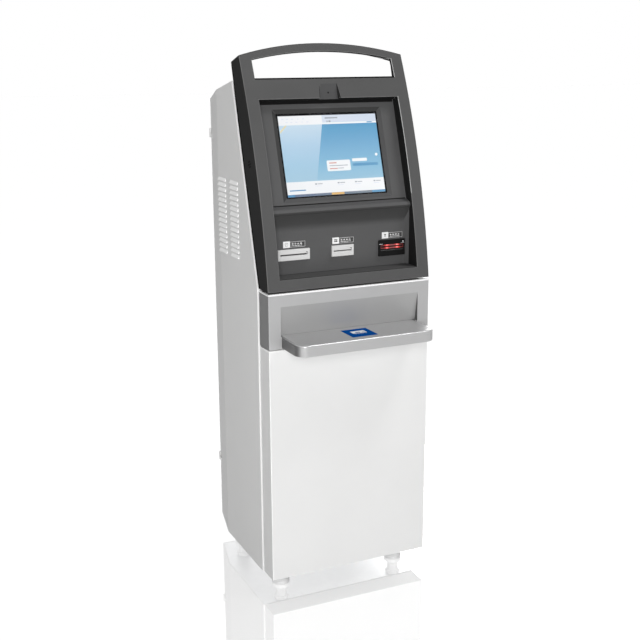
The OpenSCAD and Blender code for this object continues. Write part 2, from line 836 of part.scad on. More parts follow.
module mains_inlet() {
    y1 = rear_y + sheet + inlet_rim;
    color("black") kiosk() difference() {
        union() {
            block([inlet_x - inlet_w / 2 - inlet_rim, inlet_x + inlet_w / 2 + inlet_rim],
                [rear_y + sheet, y1],
                [inlet_z - inlet_h / 2 - inlet_rim, inlet_z + inlet_h / 2 + inlet_rim]);
            block([inlet_x - inlet_w / 2, inlet_x + inlet_w / 2], [rear_y - 30, rear_y + sheet],
                [inlet_z - inlet_h / 2, inlet_z + inlet_h / 2]);
        }
        block([inlet_x - 12, inlet_x + 12], [rear_y - 16, y1 + over], [inlet_z - 22, inlet_z - 5]);
        block([inlet_x - rocker_w / 2 - fit, inlet_x + rocker_w / 2 + fit], [rear_y - 12, y1 + over],
            [rocker_z - rocker_h / 2 - slide_gap, rocker_z + rocker_h / 2 + slide_gap]);
        rod_x(rocker_pin_r + run, inlet_x - rocker_w / 2 - rocker_stub,
            inlet_x + rocker_w / 2 + rocker_stub, rocker_y, rocker_z);
    }
}

// Rocker with two sloped faces that meet over its pin
module mains_rocker() {
    back = -5;
    raised = 5;
    middle = 2.6;
    pressed = 2;
    h = rocker_h / 2 - 1.5;
    stub = rocker_stub - slide_gap;
    color("firebrick") kiosk() {
        translate([inlet_x, rocker_y, rocker_z])
            yz_prism([[back, -h], [raised, -h], [middle, 0], [pressed, h], [back, h]], rocker_w);
        rod_x(rocker_pin_r, inlet_x - rocker_w / 2 - stub, inlet_x + rocker_w / 2 + stub,
            rocker_y, rocker_z);
    }
}

module sill_screws() {
    head = 2;
    color("gray") kiosk() for (x = sill_screw_x) {
        rod_y(screw_r, rear_y, rear_y + sheet + over, x, sill_screw_z);
        difference() {
            rod_y(screw_r * 2, rear_y + sheet, rear_y + sheet + head, x, sill_screw_z);
            block([x - screw_r * 1.4, x + screw_r * 1.4],
                [rear_y + sheet + head / 2, rear_y + sheet + head + over],
                [sill_screw_z - 0.5, sill_screw_z + 0.5]);
        }
    }
}

// Levelling foot, turned in one piece with its stud
nut_h = 10;
nut_r = 11;

module foot(p) {
    pad_h = 10;
    neck = 22;
    stud_top = sheet + nut_h + 12;
    color("dimgray") kiosk() translate([p[0], p[1], 0]) rotate_extrude($fn = 64)
        polygon([[0, -foot_h], [foot_pad_r - 1, -foot_h], [foot_pad_r, -foot_h + 1],
            [foot_pad_r, -foot_h + pad_h], [foot_r + 4, -foot_h + pad_h + 6], [foot_r, -foot_h + neck],
            [foot_r, -slide_gap], [stud_r, -slide_gap], [stud_r, stud_top], [0, stud_top]]);
}

module foot_front_left() {
    foot(foot_places[0]);
}

module foot_front_right() {
    foot(foot_places[1]);
}

module foot_rear_left() {
    foot(foot_places[2]);
}

module foot_rear_right() {
    foot(foot_places[3]);
}

// Lower half of an upright barrel hinge, with its pin
module barrel_pin(axis, z) {
    translate([axis[0], axis[1], z - barrel_h]) cylinder(r = barrel_r, h = barrel_h);
    translate([axis[0], axis[1], z - over]) cylinder(r = hinge_pin_r, h = barrel_h * 0.8);
}

// Upper half, which turns on the pin
module barrel_sleeve(axis, z) {
    translate([axis[0], axis[1], z + barrel_split]) cylinder(r = barrel_r, h = barrel_h);
}

module barrel_bore(axis, z) {
    translate([axis[0], axis[1], z - over]) cylinder(r = hinge_pin_r + run, h = barrel_h * 0.8 + over);
}

module door_hinge_pins() {
    outer = cab_w / 2;
    color("gray") kiosk() for (z = door_hinge_z) {
        barrel_pin(door_axis, z);
        block([outer, outer + leaf_t], [door_axis[1], cab_y + leaf_w], [z - barrel_h, z]);
    }
}

module door_hinge_sleeves() {
    side = front_w / 2;
    color("gray") kiosk() for (z = door_hinge_z) difference() {
        union() {
            barrel_sleeve(door_axis, z);
            block([side, side + leaf_t], [door_axis[1] - leaf_w, door_axis[1] + barrel_r / 2],
                [z + barrel_split, z + barrel_h]);
            block([side, door_axis[0]], [door_axis[1] - leaf_t / 2, door_axis[1] + leaf_t / 2],
                [z + barrel_split, z + barrel_h]);
        }
        barrel_bore(door_axis, z);
    }
}

module rear_hinge_pins() {
    turn = atan(taper_in / taper_d);
    color("gray") kiosk() for (z = rear_hinge_z) {
        barrel_pin(rear_axis, z);
        translate([-rear_w / 2, rear_y, z - barrel_h]) rotate([0, 0, -turn])
            translate([-leaf_t, -leaf_w, 0]) cube([leaf_t, leaf_w + barrel_r, barrel_h]);
    }
}

module rear_hinge_sleeves() {
    color("gray") kiosk() for (z = rear_hinge_z) difference() {
        union() {
            barrel_sleeve(rear_axis, z);
            block([rear_axis[0], rear_axis[0] + leaf_w + barrel_r],
                [rear_y + sheet + fit, rear_y + sheet + fit + leaf_t],
                [z + barrel_split, z + barrel_h]);
        }
        barrel_bore(rear_axis, z);
    }
}

// Head hinge: knuckles in turn on the cabinet's leaf and the head's leaf, on one long pin
knuckle_l = head_hinge_l / head_knuckles;

module knuckle(i, r, gap) {
    x0 = -head_hinge_l / 2 + i * knuckle_l;
    rod_x(r, x0 + gap, x0 + knuckle_l - gap, head_axis_y, head_axis_z);
}

module head_hinge_leaf() {
    y1 = cab_top_y + leaf_w;
    z0 = top_z(head_axis_y) + rest_gap;
    z1 = top_z(y1) + rest_gap;
    color("gray") kiosk() difference() {
        union() {
            yz_prism([[head_axis_y, z0], [y1, z1], [y1, z1 + leaf_t], [head_axis_y, z0 + leaf_t]],
                head_hinge_l);
            for (i = [0 : 2 : head_knuckles - 1]) knuckle(i, head_barrel_r, slide_gap / 2);
        }
        for (i = [1 : 2 : head_knuckles - 1]) knuckle(i, knuckle_clear, -slide_gap / 2);
        rod_x(head_pin_r, -head_hinge_l, head_hinge_l, head_axis_y, head_axis_z);
    }
}

module head_hinge_pin() {
    color("gray") kiosk() rod_x(head_pin_r, -head_hinge_l / 2, head_hinge_l / 2, head_axis_y, head_axis_z);
}

module head_leaf() {
    color("gray") difference() {
        union() {
            head_frame() block([-head_hinge_l / 2, head_hinge_l / 2],
                [head_d + fit / 2, head_d + leaf_t - slide_gap], [head_axis_l - leaf_w, head_axis_l]);
            kiosk() for (i = [1 : 2 : head_knuckles - 1]) knuckle(i, head_barrel_r, slide_gap / 2);
        }
        kiosk() for (i = [0 : 2 : head_knuckles - 1]) knuckle(i, knuckle_clear, -slide_gap / 2);
        kiosk() rod_x(head_pin_r + run, -head_hinge_l, head_hinge_l, head_axis_y, head_axis_z);
    }
}

// Rail across the back of the head behind the camera, which carries the head's hinge leaf
module head_rear_rail() {
    x = front_w / 2 - skin - head_flange - fit;
    lip = 16;
    z0 = recess_top + 2 * skin;
    z1 = head_axis_l - head_barrel_r - 1;
    color("dimgray") head_frame() difference() {
        block([-x, x], [head_d - lip, head_d], [z0, z1]);
        block([-x - over, x + over], [head_d - lip - over, head_d - sheet], [z0 + sheet, z1 - sheet]);
    }
}

// Turn latch inside the cabinet that holds the lower door shut
latch_x = -(front_w / 2 - sheet - flange - 8);
latch_z = door_h / 2;
latch_y = front_d - sheet - slide_gap;
latch_t = 4;
latch_w = 10;
latch_l = 18;
latch_r = 4;

module door_latch_post() {
    base = 15;
    y_base = cab_y + sheet + fit;
    color("gray") kiosk() {
        block([latch_x - 22, latch_x + base], [y_base, y_base + sheet], [latch_z - base, latch_z + base]);
        rod_y(latch_r + 2, latch_y + slide_gap, y_base + over, latch_x, latch_z);
        rod_y(latch_r, latch_y - latch_t - slide_gap, y_base, latch_x, latch_z);
        rod_y(latch_r + 2, latch_y - latch_t - slide_gap - sheet, latch_y - latch_t - slide_gap,
            latch_x, latch_z);
    }
}

module door_latch() {
    color("silver") kiosk() difference() {
        union() {
            rod_y(latch_w / 2 + 1, latch_y - latch_t, latch_y, latch_x, latch_z);
            block([latch_x - latch_w / 2, latch_x + latch_w / 2], [latch_y - latch_t, latch_y],
                [latch_z - latch_l, latch_z]);
        }
        rod_y(latch_r + run, latch_y - latch_t - over, latch_y + over, latch_x, latch_z);
    }
}

// Magnetic catches on the cabinet's front flange
module door_catches() {
    w = 10;
    l = 50;
    x = -(front_w / 2 - sheet - w / 2);
    color("black") kiosk() for (z = door_hinge_z)
        block([x - w / 2, x + w / 2], [front_d + slide_gap, cab_y], [z - l / 2, z + l / 2]);
}

// Lower front door: a deep pan with a flange folded in round its rear edge and a welded stiffener
module front_door() {
    x = front_w / 2;
    stiff_w = 60;
    stiff_d = 18;
    color("white") kiosk() {
        difference() {
            block([-x, x], [0, front_d], [0, door_h]);
            block([-x + sheet, x - sheet], [sheet, front_d - sheet], [sheet, door_h - sheet]);
            block([-x + flange, x - flange], [sheet, front_d + over], [flange, door_h - flange]);
        }
        difference() {
            block([-stiff_w / 2, stiff_w / 2], [sheet / 2, sheet + stiff_d], [flange, door_h - flange]);
            block([-stiff_w / 2 + sheet, stiff_w / 2 - sheet], [sheet, stiff_d], [0, door_h]);
        }
    }
}

lock_x = rear_w / 2 - flange - 18;
lock_z = rear_bottom + (rear_top - rear_bottom) / 2;
lock_r = 9;
plug_r = 6;
lock_l = 10;
cam_w = 10;
cam_l = 26;

// Rear door: laid over the rear flanges, with two stiffening ribs inside and a row of air slots
module rear_door() {
    x = rear_w / 2 - 4;
    rib_x = rear_w / 4;
    rib_w = 14;
    rib_d = 5;
    rib_end = 30;
    vent_n = 9;
    vent_w = 5;
    vent_h = 60;
    vent_pitch = 16;
    vent_top = rear_top - 60;
    color("gainsboro") kiosk() difference() {
        union() {
            block([-x, x], [rear_y + fit, rear_y + sheet + fit], [rear_bottom, rear_top]);
            for (side = [-1, 1])
                block([-rib_w / 2, rib_w / 2] + [side * rib_x, side * rib_x],
                    [rear_y - rib_d, rear_y + sheet], [rear_bottom + rib_end, rear_top - rib_end]);
        }
        for (i = [0 : vent_n - 1])
            translate([(i - (vent_n - 1) / 2) * vent_pitch, 0, 0])
                block([-vent_w / 2, vent_w / 2], [rear_y - over, rear_y + sheet + over],
                    [vent_top - vent_h, vent_top]);
        rod_y(lock_r + fit, rear_y - huge, rear_y + huge, lock_x, lock_z);
    }
}

module rear_lock_body() {
    y1 = rear_y + sheet + fit;
    color("silver") kiosk() difference() {
        union() {
            rod_y(lock_r, rear_y - lock_l, y1 + over, lock_x, lock_z);
            rod_y(lock_r + 3, y1, y1 + 2, lock_x, lock_z);
        }
        rod_y(plug_r + run, rear_y - lock_l - over, y1 + 2 + over, lock_x, lock_z);
    }
}

// Plug of the lock, with its key slit and the cam behind it
module rear_lock_plug() {
    y1 = rear_y + sheet + fit + 3;
    y0 = rear_y - lock_l - slide_gap;
    color("gray") kiosk() difference() {
        union() {
            rod_y(plug_r, y0 - sheet, y1, lock_x, lock_z);
            block([lock_x - cam_w / 2, lock_x + cam_w / 2], [y0 - sheet, y0],
                [lock_z - cam_l, lock_z + cam_w / 2]);
        }
        block([lock_x - 0.6, lock_x + 0.6], [y1 - 3, y1 + over], [lock_z - 4, lock_z + 4]);
    }
}

// Space under the curved face, inside the sides and the arched top, and over the level bottom
module head_space(inset, y1) {
    x = front_w / 2 - inset;
    intersection() {
        block([-x, x], [-huge / 4, y1], [-huge / 4, huge]);
        rod_x(face_r - inset, -huge / 2, huge / 2, face_back, head_len / 2, $fn = 720);
        rod_y(arch_r - inset, -huge / 2, huge / 2, 0, head_top - arch_r, $fn = 720);
        rotate([head_lean, 0, 0]) block([-huge / 2, huge / 2], [-huge / 2, huge], [inset, huge]);
    }
}

// Space of the recess for the fascia, grown by a margin
module recess_space(grow, y1) {
    x = recess_w / 2 + grow;
    intersection() {
        block([-x, x], [-huge / 4, y1], [-huge / 4, recess_top + grow]);
        rotate([head_lean, 0, 0]) block([-huge / 2, huge / 2], [-huge / 2, huge], [recess_z - grow, huge]);
    }
}

// Space of the see-through opening, grown by a margin
module window_space(grow, y1) {
    x = window_w / 2 + grow;
    intersection() {
        block([-x, x], [-huge / 4, y1], [window_z - grow, huge]);
        rod_y(window_r + grow, -huge / 2, huge / 2, 0, window_top - window_r, $fn = 720);
    }
}

// Sloped cut of the camera scoop, which runs out into the face above it
module scoop_cut() {
    z0 = recess_top - over;
    z1 = recess_top + scoop_h;
    y1 = face_y(z1);
    y0 = face_y(recess_top) + scoop_d;
    intersection() {
        yz_prism([[-huge / 4, z0], [y0, z0], [y1, z1], [-huge / 4, z1]], huge);
        xz_prism([[-scoop_w / 2, z0], [scoop_w / 2, z0], [scoop_top_w / 2, z1], [-scoop_top_w / 2, z1]],
            -huge / 4, huge / 4);
    }
}

// Shell of the head with the folded walls of its recess and its opening
module head_bezel() {
    color("dimgray") head_frame() difference() {
        union() {
            difference() {
                head_space(0, head_d);
                head_space(skin, head_d - skin);
                head_space(skin + head_flange, head_d + over);
                intersection() {
                    head_space(skin, head_d + over);
                    block([-huge / 2, huge / 2], [0, huge], [window_z, huge]);
                }
            }
            intersection() {
                head_space(0, head_d);
                difference() {
                    recess_space(skin, wall_back);
                    recess_space(0, wall_back + over);
                }
            }
            difference() {
                intersection() {
                    head_space(0, head_d);
                    window_space(skin, head_d);
                }
                window_space(0, huge);
                rod_x(face_r - window_edge, -huge, huge, face_back, head_len / 2, $fn = 720);
            }
            intersection() {
                head_space(0, head_d);
                block([-scoop_w / 2 - skin, scoop_w / 2 + skin], [-huge / 4, pinhole_y + scoop_wall],
                    [recess_top, recess_top + scoop_h + skin]);
            }
        }
        recess_space(0, wall_back - over);
        window_space(0, head_d - 2 * skin);
        scoop_cut();
        rod_y(pinhole_r, -huge / 4, huge / 4, 0, pinhole_z);
        for (side = [-1, 1]) for (i = [-1 : 5]) {
            x = side * (front_w / 2 - skin / 2);
            r = i < 0 ? 0 : speaker_ring;
            rod_x(speaker_hole_r, x - 2 * skin, x + 2 * skin,
                speaker_y + r * cos(60 * i), speaker_z + r * sin(60 * i), $fn = 16);
        }
    }
}

module camera_module() {
    w = 15;
    d = 16;
    y0 = pinhole_y + scoop_wall + fit;
    color("darkgreen") head_frame() block([-w, w], [y0, y0 + d], [pinhole_z - 11, pinhole_z + w]);
}

module camera_lens() {
    y0 = pinhole_y - 2;
    color("black") head_frame()
        rod_y(pinhole_r - run, y0, pinhole_y + scoop_wall + fit, 0, pinhole_z);
}

module speakers() {
    x1 = front_w / 2 - skin;
    color("black") head_frame() for (side = [-1, 1])
        mirror([side < 0 ? 1 : 0, 0, 0]) difference() {
            union() {
                rod_x(speaker_r, x1 - speaker_l / 2, x1, speaker_y, speaker_z);
                rod_x(speaker_r * 0.6, x1 - speaker_l, x1, speaker_y, speaker_z);
            }
            rod_x(speaker_r * 0.7, x1 - 3, x1 + over, speaker_y, speaker_z);
        }
}

// Fascia moulding: screen panel, rounded brow and dished slot panel
module fascia() {
    z_brow = head_z + crease_z - brow_drop;
    y_brow = crease_y - brow_out;
    rim_y = pocket_y - dish_d;
    rim_z = z_brow - brow_r + over;
    far = recess_top;
    far_y = crease_y + far * sin(screen_lean);
    far_z = head_z + crease_z + far * cos(screen_lean);
    t = fascia_t;
    side_x = recess_w / 2;
    dish_x = side_x - dish_w;
    color("dimgray") intersection() {
        head_frame() recess_space(-fit, wall_back);
        difference() {
            union() {
                kiosk() yz_prism([[far_y, far_z],
                    [crease_y, head_z + crease_z], [y_brow, z_brow + brow_r], [rim_y, rim_z],
                    [pocket_y, rim_z - dish_h], [pocket_y, head_z], [pocket_y + t, head_z],
                    [pocket_y + t, rim_z - dish_h], [pocket_y + t, z_brow],
                    [crease_y + t, head_z + crease_z],
                    [far_y + t, far_z]], recess_w);
                kiosk() rod_x(brow_r, -side_x, side_x, y_brow, z_brow);
                kiosk() for (side = [-1, 1])
                    translate([0, 0, head_z]) linear_extrude(rim_z - head_z) polygon([
                        [side * dish_x, pocket_y + t / 2], [side * side_x, pocket_y + t / 2],
                        [side * side_x, rim_y + t / 2], [side * dish_x, pocket_y]]);
                screen_frame() block([-1, 1] * (lcd_w / 2 + lcd_border + bevel_w + plate_edge),
                    [over, bevel_d],
                    [lcd_z, lcd_z] + [-1, 1] * (lcd_h / 2 + lcd_border + bevel_w + lip_edge));
            }
            screen_frame() screen_window();
            for (p = slot_cuts)
                kiosk() block([p[0] - p[1] / 2, p[0] + p[1] / 2], [pocket_y - dish_d, panel_rear + over],
                    [slot_mid - p[2] / 2, slot_mid + p[2] / 2]);
        }
    }
}

// Cut for the screen: a bevel that narrows to the window
module screen_window() {
    x = lcd_w / 2 + lcd_border;
    z = lcd_h / 2 + lcd_border;
    translate([0, 0, lcd_z]) intersection() {
        yz_prism([[-over, -z - bevel_w], [0, -z - bevel_w], [bevel_d, -z], [bevel_d, z], [0, z + bevel_w],
            [-over, z + bevel_w]], huge);
        linear_extrude(huge, center = true) polygon([[-x - bevel_w, -over], [-x - bevel_w, 0],
            [-x, bevel_d], [x, bevel_d], [x + bevel_w, 0], [x + bevel_w, -over]]);
    }
    block([-x, x], [-over, bevel_d + over], [lcd_z - z, lcd_z + z]);
}

module touch_glass() {
    x = lcd_w / 2 + glass_edge;
    z = lcd_h / 2 + glass_edge;
    color("black", 0.4) screen_frame()
        block([-x, x], [glass_y, glass_y + glass_t], [lcd_z - z, lcd_z + z]);
}

module lcd_panel() {
    x = lcd_w / 2 + lcd_edge;
    z = lcd_h / 2 + lcd_edge;
    color("lightskyblue") screen_frame() block([-x, x], [lcd_y, lcd_y + lcd_t], [lcd_z - z, lcd_z + z]);
}

// Two rails behind the screen panel, each on two posts that stand on the back of the fascia
module lcd_bracket() {
    z = lcd_h / 2 + lcd_edge;
    post_x = lcd_w / 2 + bracket_edge;
    color("lightgray") screen_frame() for (side = [-1, 1]) mirror([side < 0 ? 1 : 0, 0, 0]) {
        block([post_x - bracket_w, post_x + post_r], [bracket_y, bracket_y + bracket_t],
            [lcd_z - z, lcd_z + z]);
        for (end = [-1, 1])
            rod_y(post_r, fascia_t * cos(screen_lean) + fit, bracket_y + bracket_t, post_x,
                lcd_z + end * (z - 2 * post_r));
    }
}

// Cuts in the slot panel: place across, width and height
slot_cuts = [[receipt_x, receipt_w - 2 * lip_edge + 2 * fit, plate_h - 2 * lip_edge + 2 * fit],
    [card_x, card_w - plate_edge + 2 * fit, plate_h - 2 * lip_edge + 2 * fit],
    [note_x, note_w - plate_edge + 2 * fit, note_h - 2 * lip_edge - 2 * note_drop + 2 * fit]];

// Plate on the slot panel with a spigot through the panel and a slit through both
module slot_plate(x, w, h, drop, cut, slit_w, slit_h) {
    z = slot_mid - drop;
    difference() {
        union() {
            block([x - w / 2, x + w / 2], [pocket_y - plate_t, pocket_y], [z - h / 2, z + h / 2]);
            block([x - cut[1] / 2 + fit, x + cut[1] / 2 - fit], [pocket_y - over, panel_rear + fit],
                [slot_mid - cut[2] / 2 + fit, slot_mid + cut[2] / 2 - fit]);
        }
        block([x - slit_w / 2, x + slit_w / 2], [pocket_y - plate_t - over, panel_rear + over],
            [slot_mid - slit_h / 2, slot_mid + slit_h / 2]);
    }
}

module receipt_plate() {
    color("whitesmoke") kiosk() slot_plate(receipt_x, receipt_w, plate_h, 0, slot_cuts[0],
        throat_w, throat_h);
}

module card_plate() {
    color("whitesmoke") kiosk()
        slot_plate(card_x, card_w, plate_h, 0, slot_cuts[1], card_slot - 2, card_gap);
}

light_w = 74;
light_h = 12;
light_d = 4;

module note_bezel() {
    y0 = pocket_y - plate_t;
    color("black") kiosk() difference() {
        slot_plate(note_x, note_w, note_h, note_drop, slot_cuts[2], note_slot, note_gap);
        block([note_x - light_w / 2, note_x + light_w / 2], [y0 - over, y0 + light_d],
            [slot_mid - light_h / 2, slot_mid + light_h / 2]);
    }
}

// Lit frame round the banknote entry
module note_light() {
    y0 = pocket_y - plate_t;
    color("red") kiosk() difference() {
        block([note_x - light_w / 2 + fit, note_x + light_w / 2 - fit], [y0 + 0.5, y0 + light_d],
            [slot_mid - light_h / 2 + fit, slot_mid + light_h / 2 - fit]);
        block([note_x - note_slot / 2, note_x + note_slot / 2], [y0 - over, y0 + light_d + over],
            [slot_mid - note_gap / 2, slot_mid + note_gap / 2]);
    }
}

// Label plates over the slots: a square for a sign and a long plate beside it
label_t = 0.6;
icon_w = 20;
icon_h = 18;
text_w = 46;
text_h = 15;
label_gap = 4;
label_left = 30;

module slot_labels() {
    color("white") kiosk() for (p = [[receipt_x, plate_h / 2], [card_x, plate_h / 2],
        [note_x, note_h / 2 - note_drop]]) {
        x = p[0] - label_left;
        z = slot_mid + p[1] + label_gap;
        block([x, x + icon_w], [pocket_y - label_t, pocket_y], [z, z + icon_h]);
        block([x + icon_w + fit, x + icon_w + text_w], [pocket_y - label_t, pocket_y],
            [z + 1, z + 1 + text_h]);
    }
}

left_side_panel();
right_side_panel();
base_tray();
top_panel();
cross_rail();
rear_sill();
band();
shelf_tray();
shelf_base();
shelf_pad();
pad_reader();
device_shelf();
printer_body();
roll_cradle();
card_reader();
note_acceptor();
computer_case();
power_supply();
fan_frame();
mains_inlet();
door_hinge_pins();
rear_hinge_pins();
head_hinge_leaf();
head_hinge_pin();
door_latch_post();
door_catches();
sill_screws();
front_door();
door_hinge_sleeves();
door_latch();
rear_door();
rear_hinge_sleeves();
rear_lock_body();
rear_lock_plug();
head_bezel();
fascia();
touch_glass();
lcd_panel();
lcd_bracket();
camera_module();
camera_lens();
speakers();
receipt_plate();
card_plate();
note_bezel();
note_light();
slot_labels();
head_rear_rail();
head_leaf();
platen_roller();
paper_roll();
roll_spindle();
note_cassette();
fan_rotor();
mains_rocker();
computer_button();
foot_front_left();
foot_front_right();
foot_rear_left();
foot_rear_right();
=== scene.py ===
import json
import math

import bmesh
import bpy
from mathutils import Matrix, Vector


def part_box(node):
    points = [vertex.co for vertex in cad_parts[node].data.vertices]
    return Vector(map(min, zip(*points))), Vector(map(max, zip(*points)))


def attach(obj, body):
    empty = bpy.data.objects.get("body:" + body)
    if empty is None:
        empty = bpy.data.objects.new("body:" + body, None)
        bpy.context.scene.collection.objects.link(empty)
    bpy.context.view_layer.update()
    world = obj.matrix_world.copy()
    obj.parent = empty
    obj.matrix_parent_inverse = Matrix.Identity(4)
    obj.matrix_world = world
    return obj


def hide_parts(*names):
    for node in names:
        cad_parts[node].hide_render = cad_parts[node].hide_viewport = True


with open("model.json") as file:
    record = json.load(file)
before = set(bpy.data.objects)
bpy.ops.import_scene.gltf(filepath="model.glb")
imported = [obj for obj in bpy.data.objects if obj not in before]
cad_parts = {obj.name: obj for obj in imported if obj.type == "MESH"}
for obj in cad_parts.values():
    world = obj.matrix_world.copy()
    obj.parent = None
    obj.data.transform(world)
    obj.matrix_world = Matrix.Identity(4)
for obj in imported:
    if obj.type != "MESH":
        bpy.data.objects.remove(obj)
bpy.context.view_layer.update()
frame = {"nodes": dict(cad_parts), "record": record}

scene = bpy.context.scene
scene.view_settings.view_transform = "Standard"
MM = 0.001
HOME = Matrix.Identity(4)
record = frame["record"]
body_of = {node: body for body, nodes in record["behaviour"]["bodies"].items() for node in nodes}
slot_of = {part["node"]: part["material_slot"] for part in record["subparts"]}

# Places on a node's box, by shares of its width, depth and height, with a step in millimetres
LOW, MID, HIGH = 0.0, 0.5, 1.0


def at(node, x, y, z, step=(0.0, 0.0, 0.0)):
    low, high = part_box(node)
    place = Vector([a + (b - a) * share for a, b, share in zip(low, high, (x, y, z))])
    return Matrix.Translation(place + Vector(step) * MM)


# Camera at the photograph's viewing angle
YAW = math.radians(24.74)
PITCH = math.radians(14.09)
ROLL = math.radians(-0.30)
EYE = Vector((-1.2878, -2.7854, 1.5301))
LENS = 59.52
SENSOR = 36.0
ahead = Vector((math.sin(YAW) * math.cos(PITCH), math.cos(YAW) * math.cos(PITCH), -math.sin(PITCH)))
level = Vector((math.cos(YAW), -math.sin(YAW), 0.0))
upright = level.cross(ahead)
across = level * math.cos(ROLL) + upright * math.sin(ROLL)
upward = upright * math.cos(ROLL) - level * math.sin(ROLL)
turn = Matrix((across, upward, -ahead)).transposed().to_4x4()
camera = bpy.data.objects.new("camera", bpy.data.cameras.new("camera"))
camera.data.lens = LENS
camera.data.sensor_width = SENSOR
camera.matrix_world = Matrix.Translation(EYE) @ turn
scene.collection.objects.link(camera)
scene.camera = camera


# Lamps: a soft key beside the camera, a low strip at the left, one overhead, one behind at the right
def softbox(name, place, aim, width, height, power):
    lamp = bpy.data.lights.new(name, "AREA")
    lamp.shape = "RECTANGLE"
    lamp.size = width
    lamp.size_y = height
    lamp.energy = power
    holder = bpy.data.objects.new(name, lamp)
    sight = Vector(aim) - Vector(place)
    aimed = sight.to_track_quat("-Z", "Y").to_matrix().to_4x4()
    holder.matrix_world = Matrix.Translation(place) @ aimed
    scene.collection.objects.link(holder)


softbox("key_lamp", (-1.55, -3.5, 1.6), (0.0, 0.0, 0.85), width=1.6, height=2.0, power=92.0)
softbox("strip_lamp", (-2.4, -2.1, 0.46), (0.0, -0.2, 0.75), width=0.25, height=0.9, power=3.0)
softbox("top_lamp", (1.3, -1.0, 3.6), (0.0, -0.2, 0.85), width=1.0, height=1.0, power=38.0)
softbox("back_lamp", (2.3, 2.6, 1.9), (0.0, 0.0, 0.85), width=1.4, height=1.8, power=55.0)

# Node helpers: a socket is given a value, or the output of another node
materials = {}
WHITE = (1.0, 1.0, 1.0, 1.0)


def fill(tree, node, sockets):
    for label, value in sockets.items():
        if isinstance(value, bpy.types.NodeSocket):
            tree.links.new(value, node.inputs[label])
        else:
            node.inputs[label].default_value = value


def put(tree, kind, sockets=None, **settings):
    node = tree.nodes.new(kind)
    for key, value in settings.items():
        setattr(node, key, value)
    fill(tree, node, sockets or {})
    return node


def arith(tree, operation, *terms):
    return put(tree, "ShaderNodeMath", dict(enumerate(terms)), operation=operation).outputs[0]


def spread(tree, source, low, high):
    sockets = {"Value": source, "To Min": low, "To Max": high}
    return put(tree, "ShaderNodeMapRange", sockets).outputs["Result"]


def seen_directly(tree):
    path = put(tree, "ShaderNodeLightPath").outputs
    seen = arith(tree, "MAXIMUM", path["Is Camera Ray"], path["Is Glossy Ray"])
    return arith(tree, "MAXIMUM", seen, path["Is Transmission Ray"])


def new_material(name):
    material = bpy.data.materials.new(name)
    material.use_nodes = True
    materials[name] = material
    return material.node_tree


# World: white where it is seen or mirrored, a soft grey light on the object
AMBIENT = 0.24
world = bpy.data.worlds.new("studio")
scene.world = world
world.use_nodes = True
sky = world.node_tree
sky.nodes.clear()
soft_light = put(sky, "ShaderNodeBackground", {"Color": WHITE, "Strength": AMBIENT})
white_wall = put(sky, "ShaderNodeBackground", {"Color": WHITE, "Strength": 1.0})
sky_mix = put(sky, "ShaderNodeMixShader", {
    "Fac": seen_directly(sky), 1: soft_light.outputs[0], 2: white_wall.outputs[0]})
put(sky, "ShaderNodeOutputWorld", {"Surface": sky_mix.outputs[0]})

# Floor: pale, with the object's shadow and a faint mirror image
FLOOR_SIZE = 40.0
FLOOR_COLOR = (0.25, 0.25, 0.25, 1.0)
FLOOR_GLOW = 0.94
FLOOR_ROUGHNESS = 0.02
FLOOR_MIRROR = 0.45
floor_form = bmesh.new()
bmesh.ops.create_grid(floor_form, x_segments=1, y_segments=1, size=FLOOR_SIZE)
floor_mesh = bpy.data.meshes.new("floor")
floor_form.to_mesh(floor_mesh)
floor_form.free()
floor = bpy.data.objects.new("floor", floor_mesh)
scene.collection.objects.link(floor)
ground = new_material("floor_paint")
ground.nodes.clear()
ground_matt = put(ground, "ShaderNodeBsdfDiffuse", {"Color": FLOOR_COLOR})
ground_glow = put(ground, "ShaderNodeEmission", {
    "Strength": arith(ground, "MULTIPLY", seen_directly(ground), FLOOR_GLOW)})
ground_gloss = put(ground, "ShaderNodeBsdfGlossy", {"Color": WHITE, "Roughness": FLOOR_ROUGHNESS})
ground_sum = put(ground, "ShaderNodeAddShader", {
    0: ground_matt.outputs[0], 1: ground_glow.outputs[0]})
ground_mix = put(ground, "ShaderNodeMixShader", {
    "Fac": FLOOR_MIRROR, 1: ground_sum.outputs[0], 2: ground_gloss.outputs[0]})
put(ground, "ShaderNodeOutputMaterial", {"Surface": ground_mix.outputs[0]})
floor_mesh.materials.append(materials["floor_paint"])

# Shared surface effects
COLOR = "NodeSocketColor"
NUMBER = "NodeSocketFloat"
DIRECTION = "NodeSocketVector"
GREY = (0.5, 0.5, 0.5, 1.0)
SURFACE_IN = [("Color", COLOR, GREY), ("Variation", NUMBER, 0.04), ("Grain Scale", NUMBER, 900.0),
              ("Grain Height", NUMBER, 0.05), ("Roughness", NUMBER, 0.4)]
SURFACE_OUT = [("Color", COLOR), ("Roughness", NUMBER), ("Normal", DIRECTION)]
CLOUD_GLOSS = 0.06
GRAIN_DEPTH = 0.0002
LINE_GLOSS = 0.12
LINE_DEPTH = 0.0001


def new_group(name, inputs, outputs):
    group = bpy.data.node_groups.new(name, "ShaderNodeTree")
    for label, kind, value in inputs:
        socket = group.interface.new_socket(label, in_out="INPUT", socket_type=kind)
        socket.default_value = value
    for label, kind in outputs:
        group.interface.new_socket(label, in_out="OUTPUT", socket_type=kind)
    return group, put(group, "NodeGroupInput").outputs, put(group, "NodeGroupOutput")


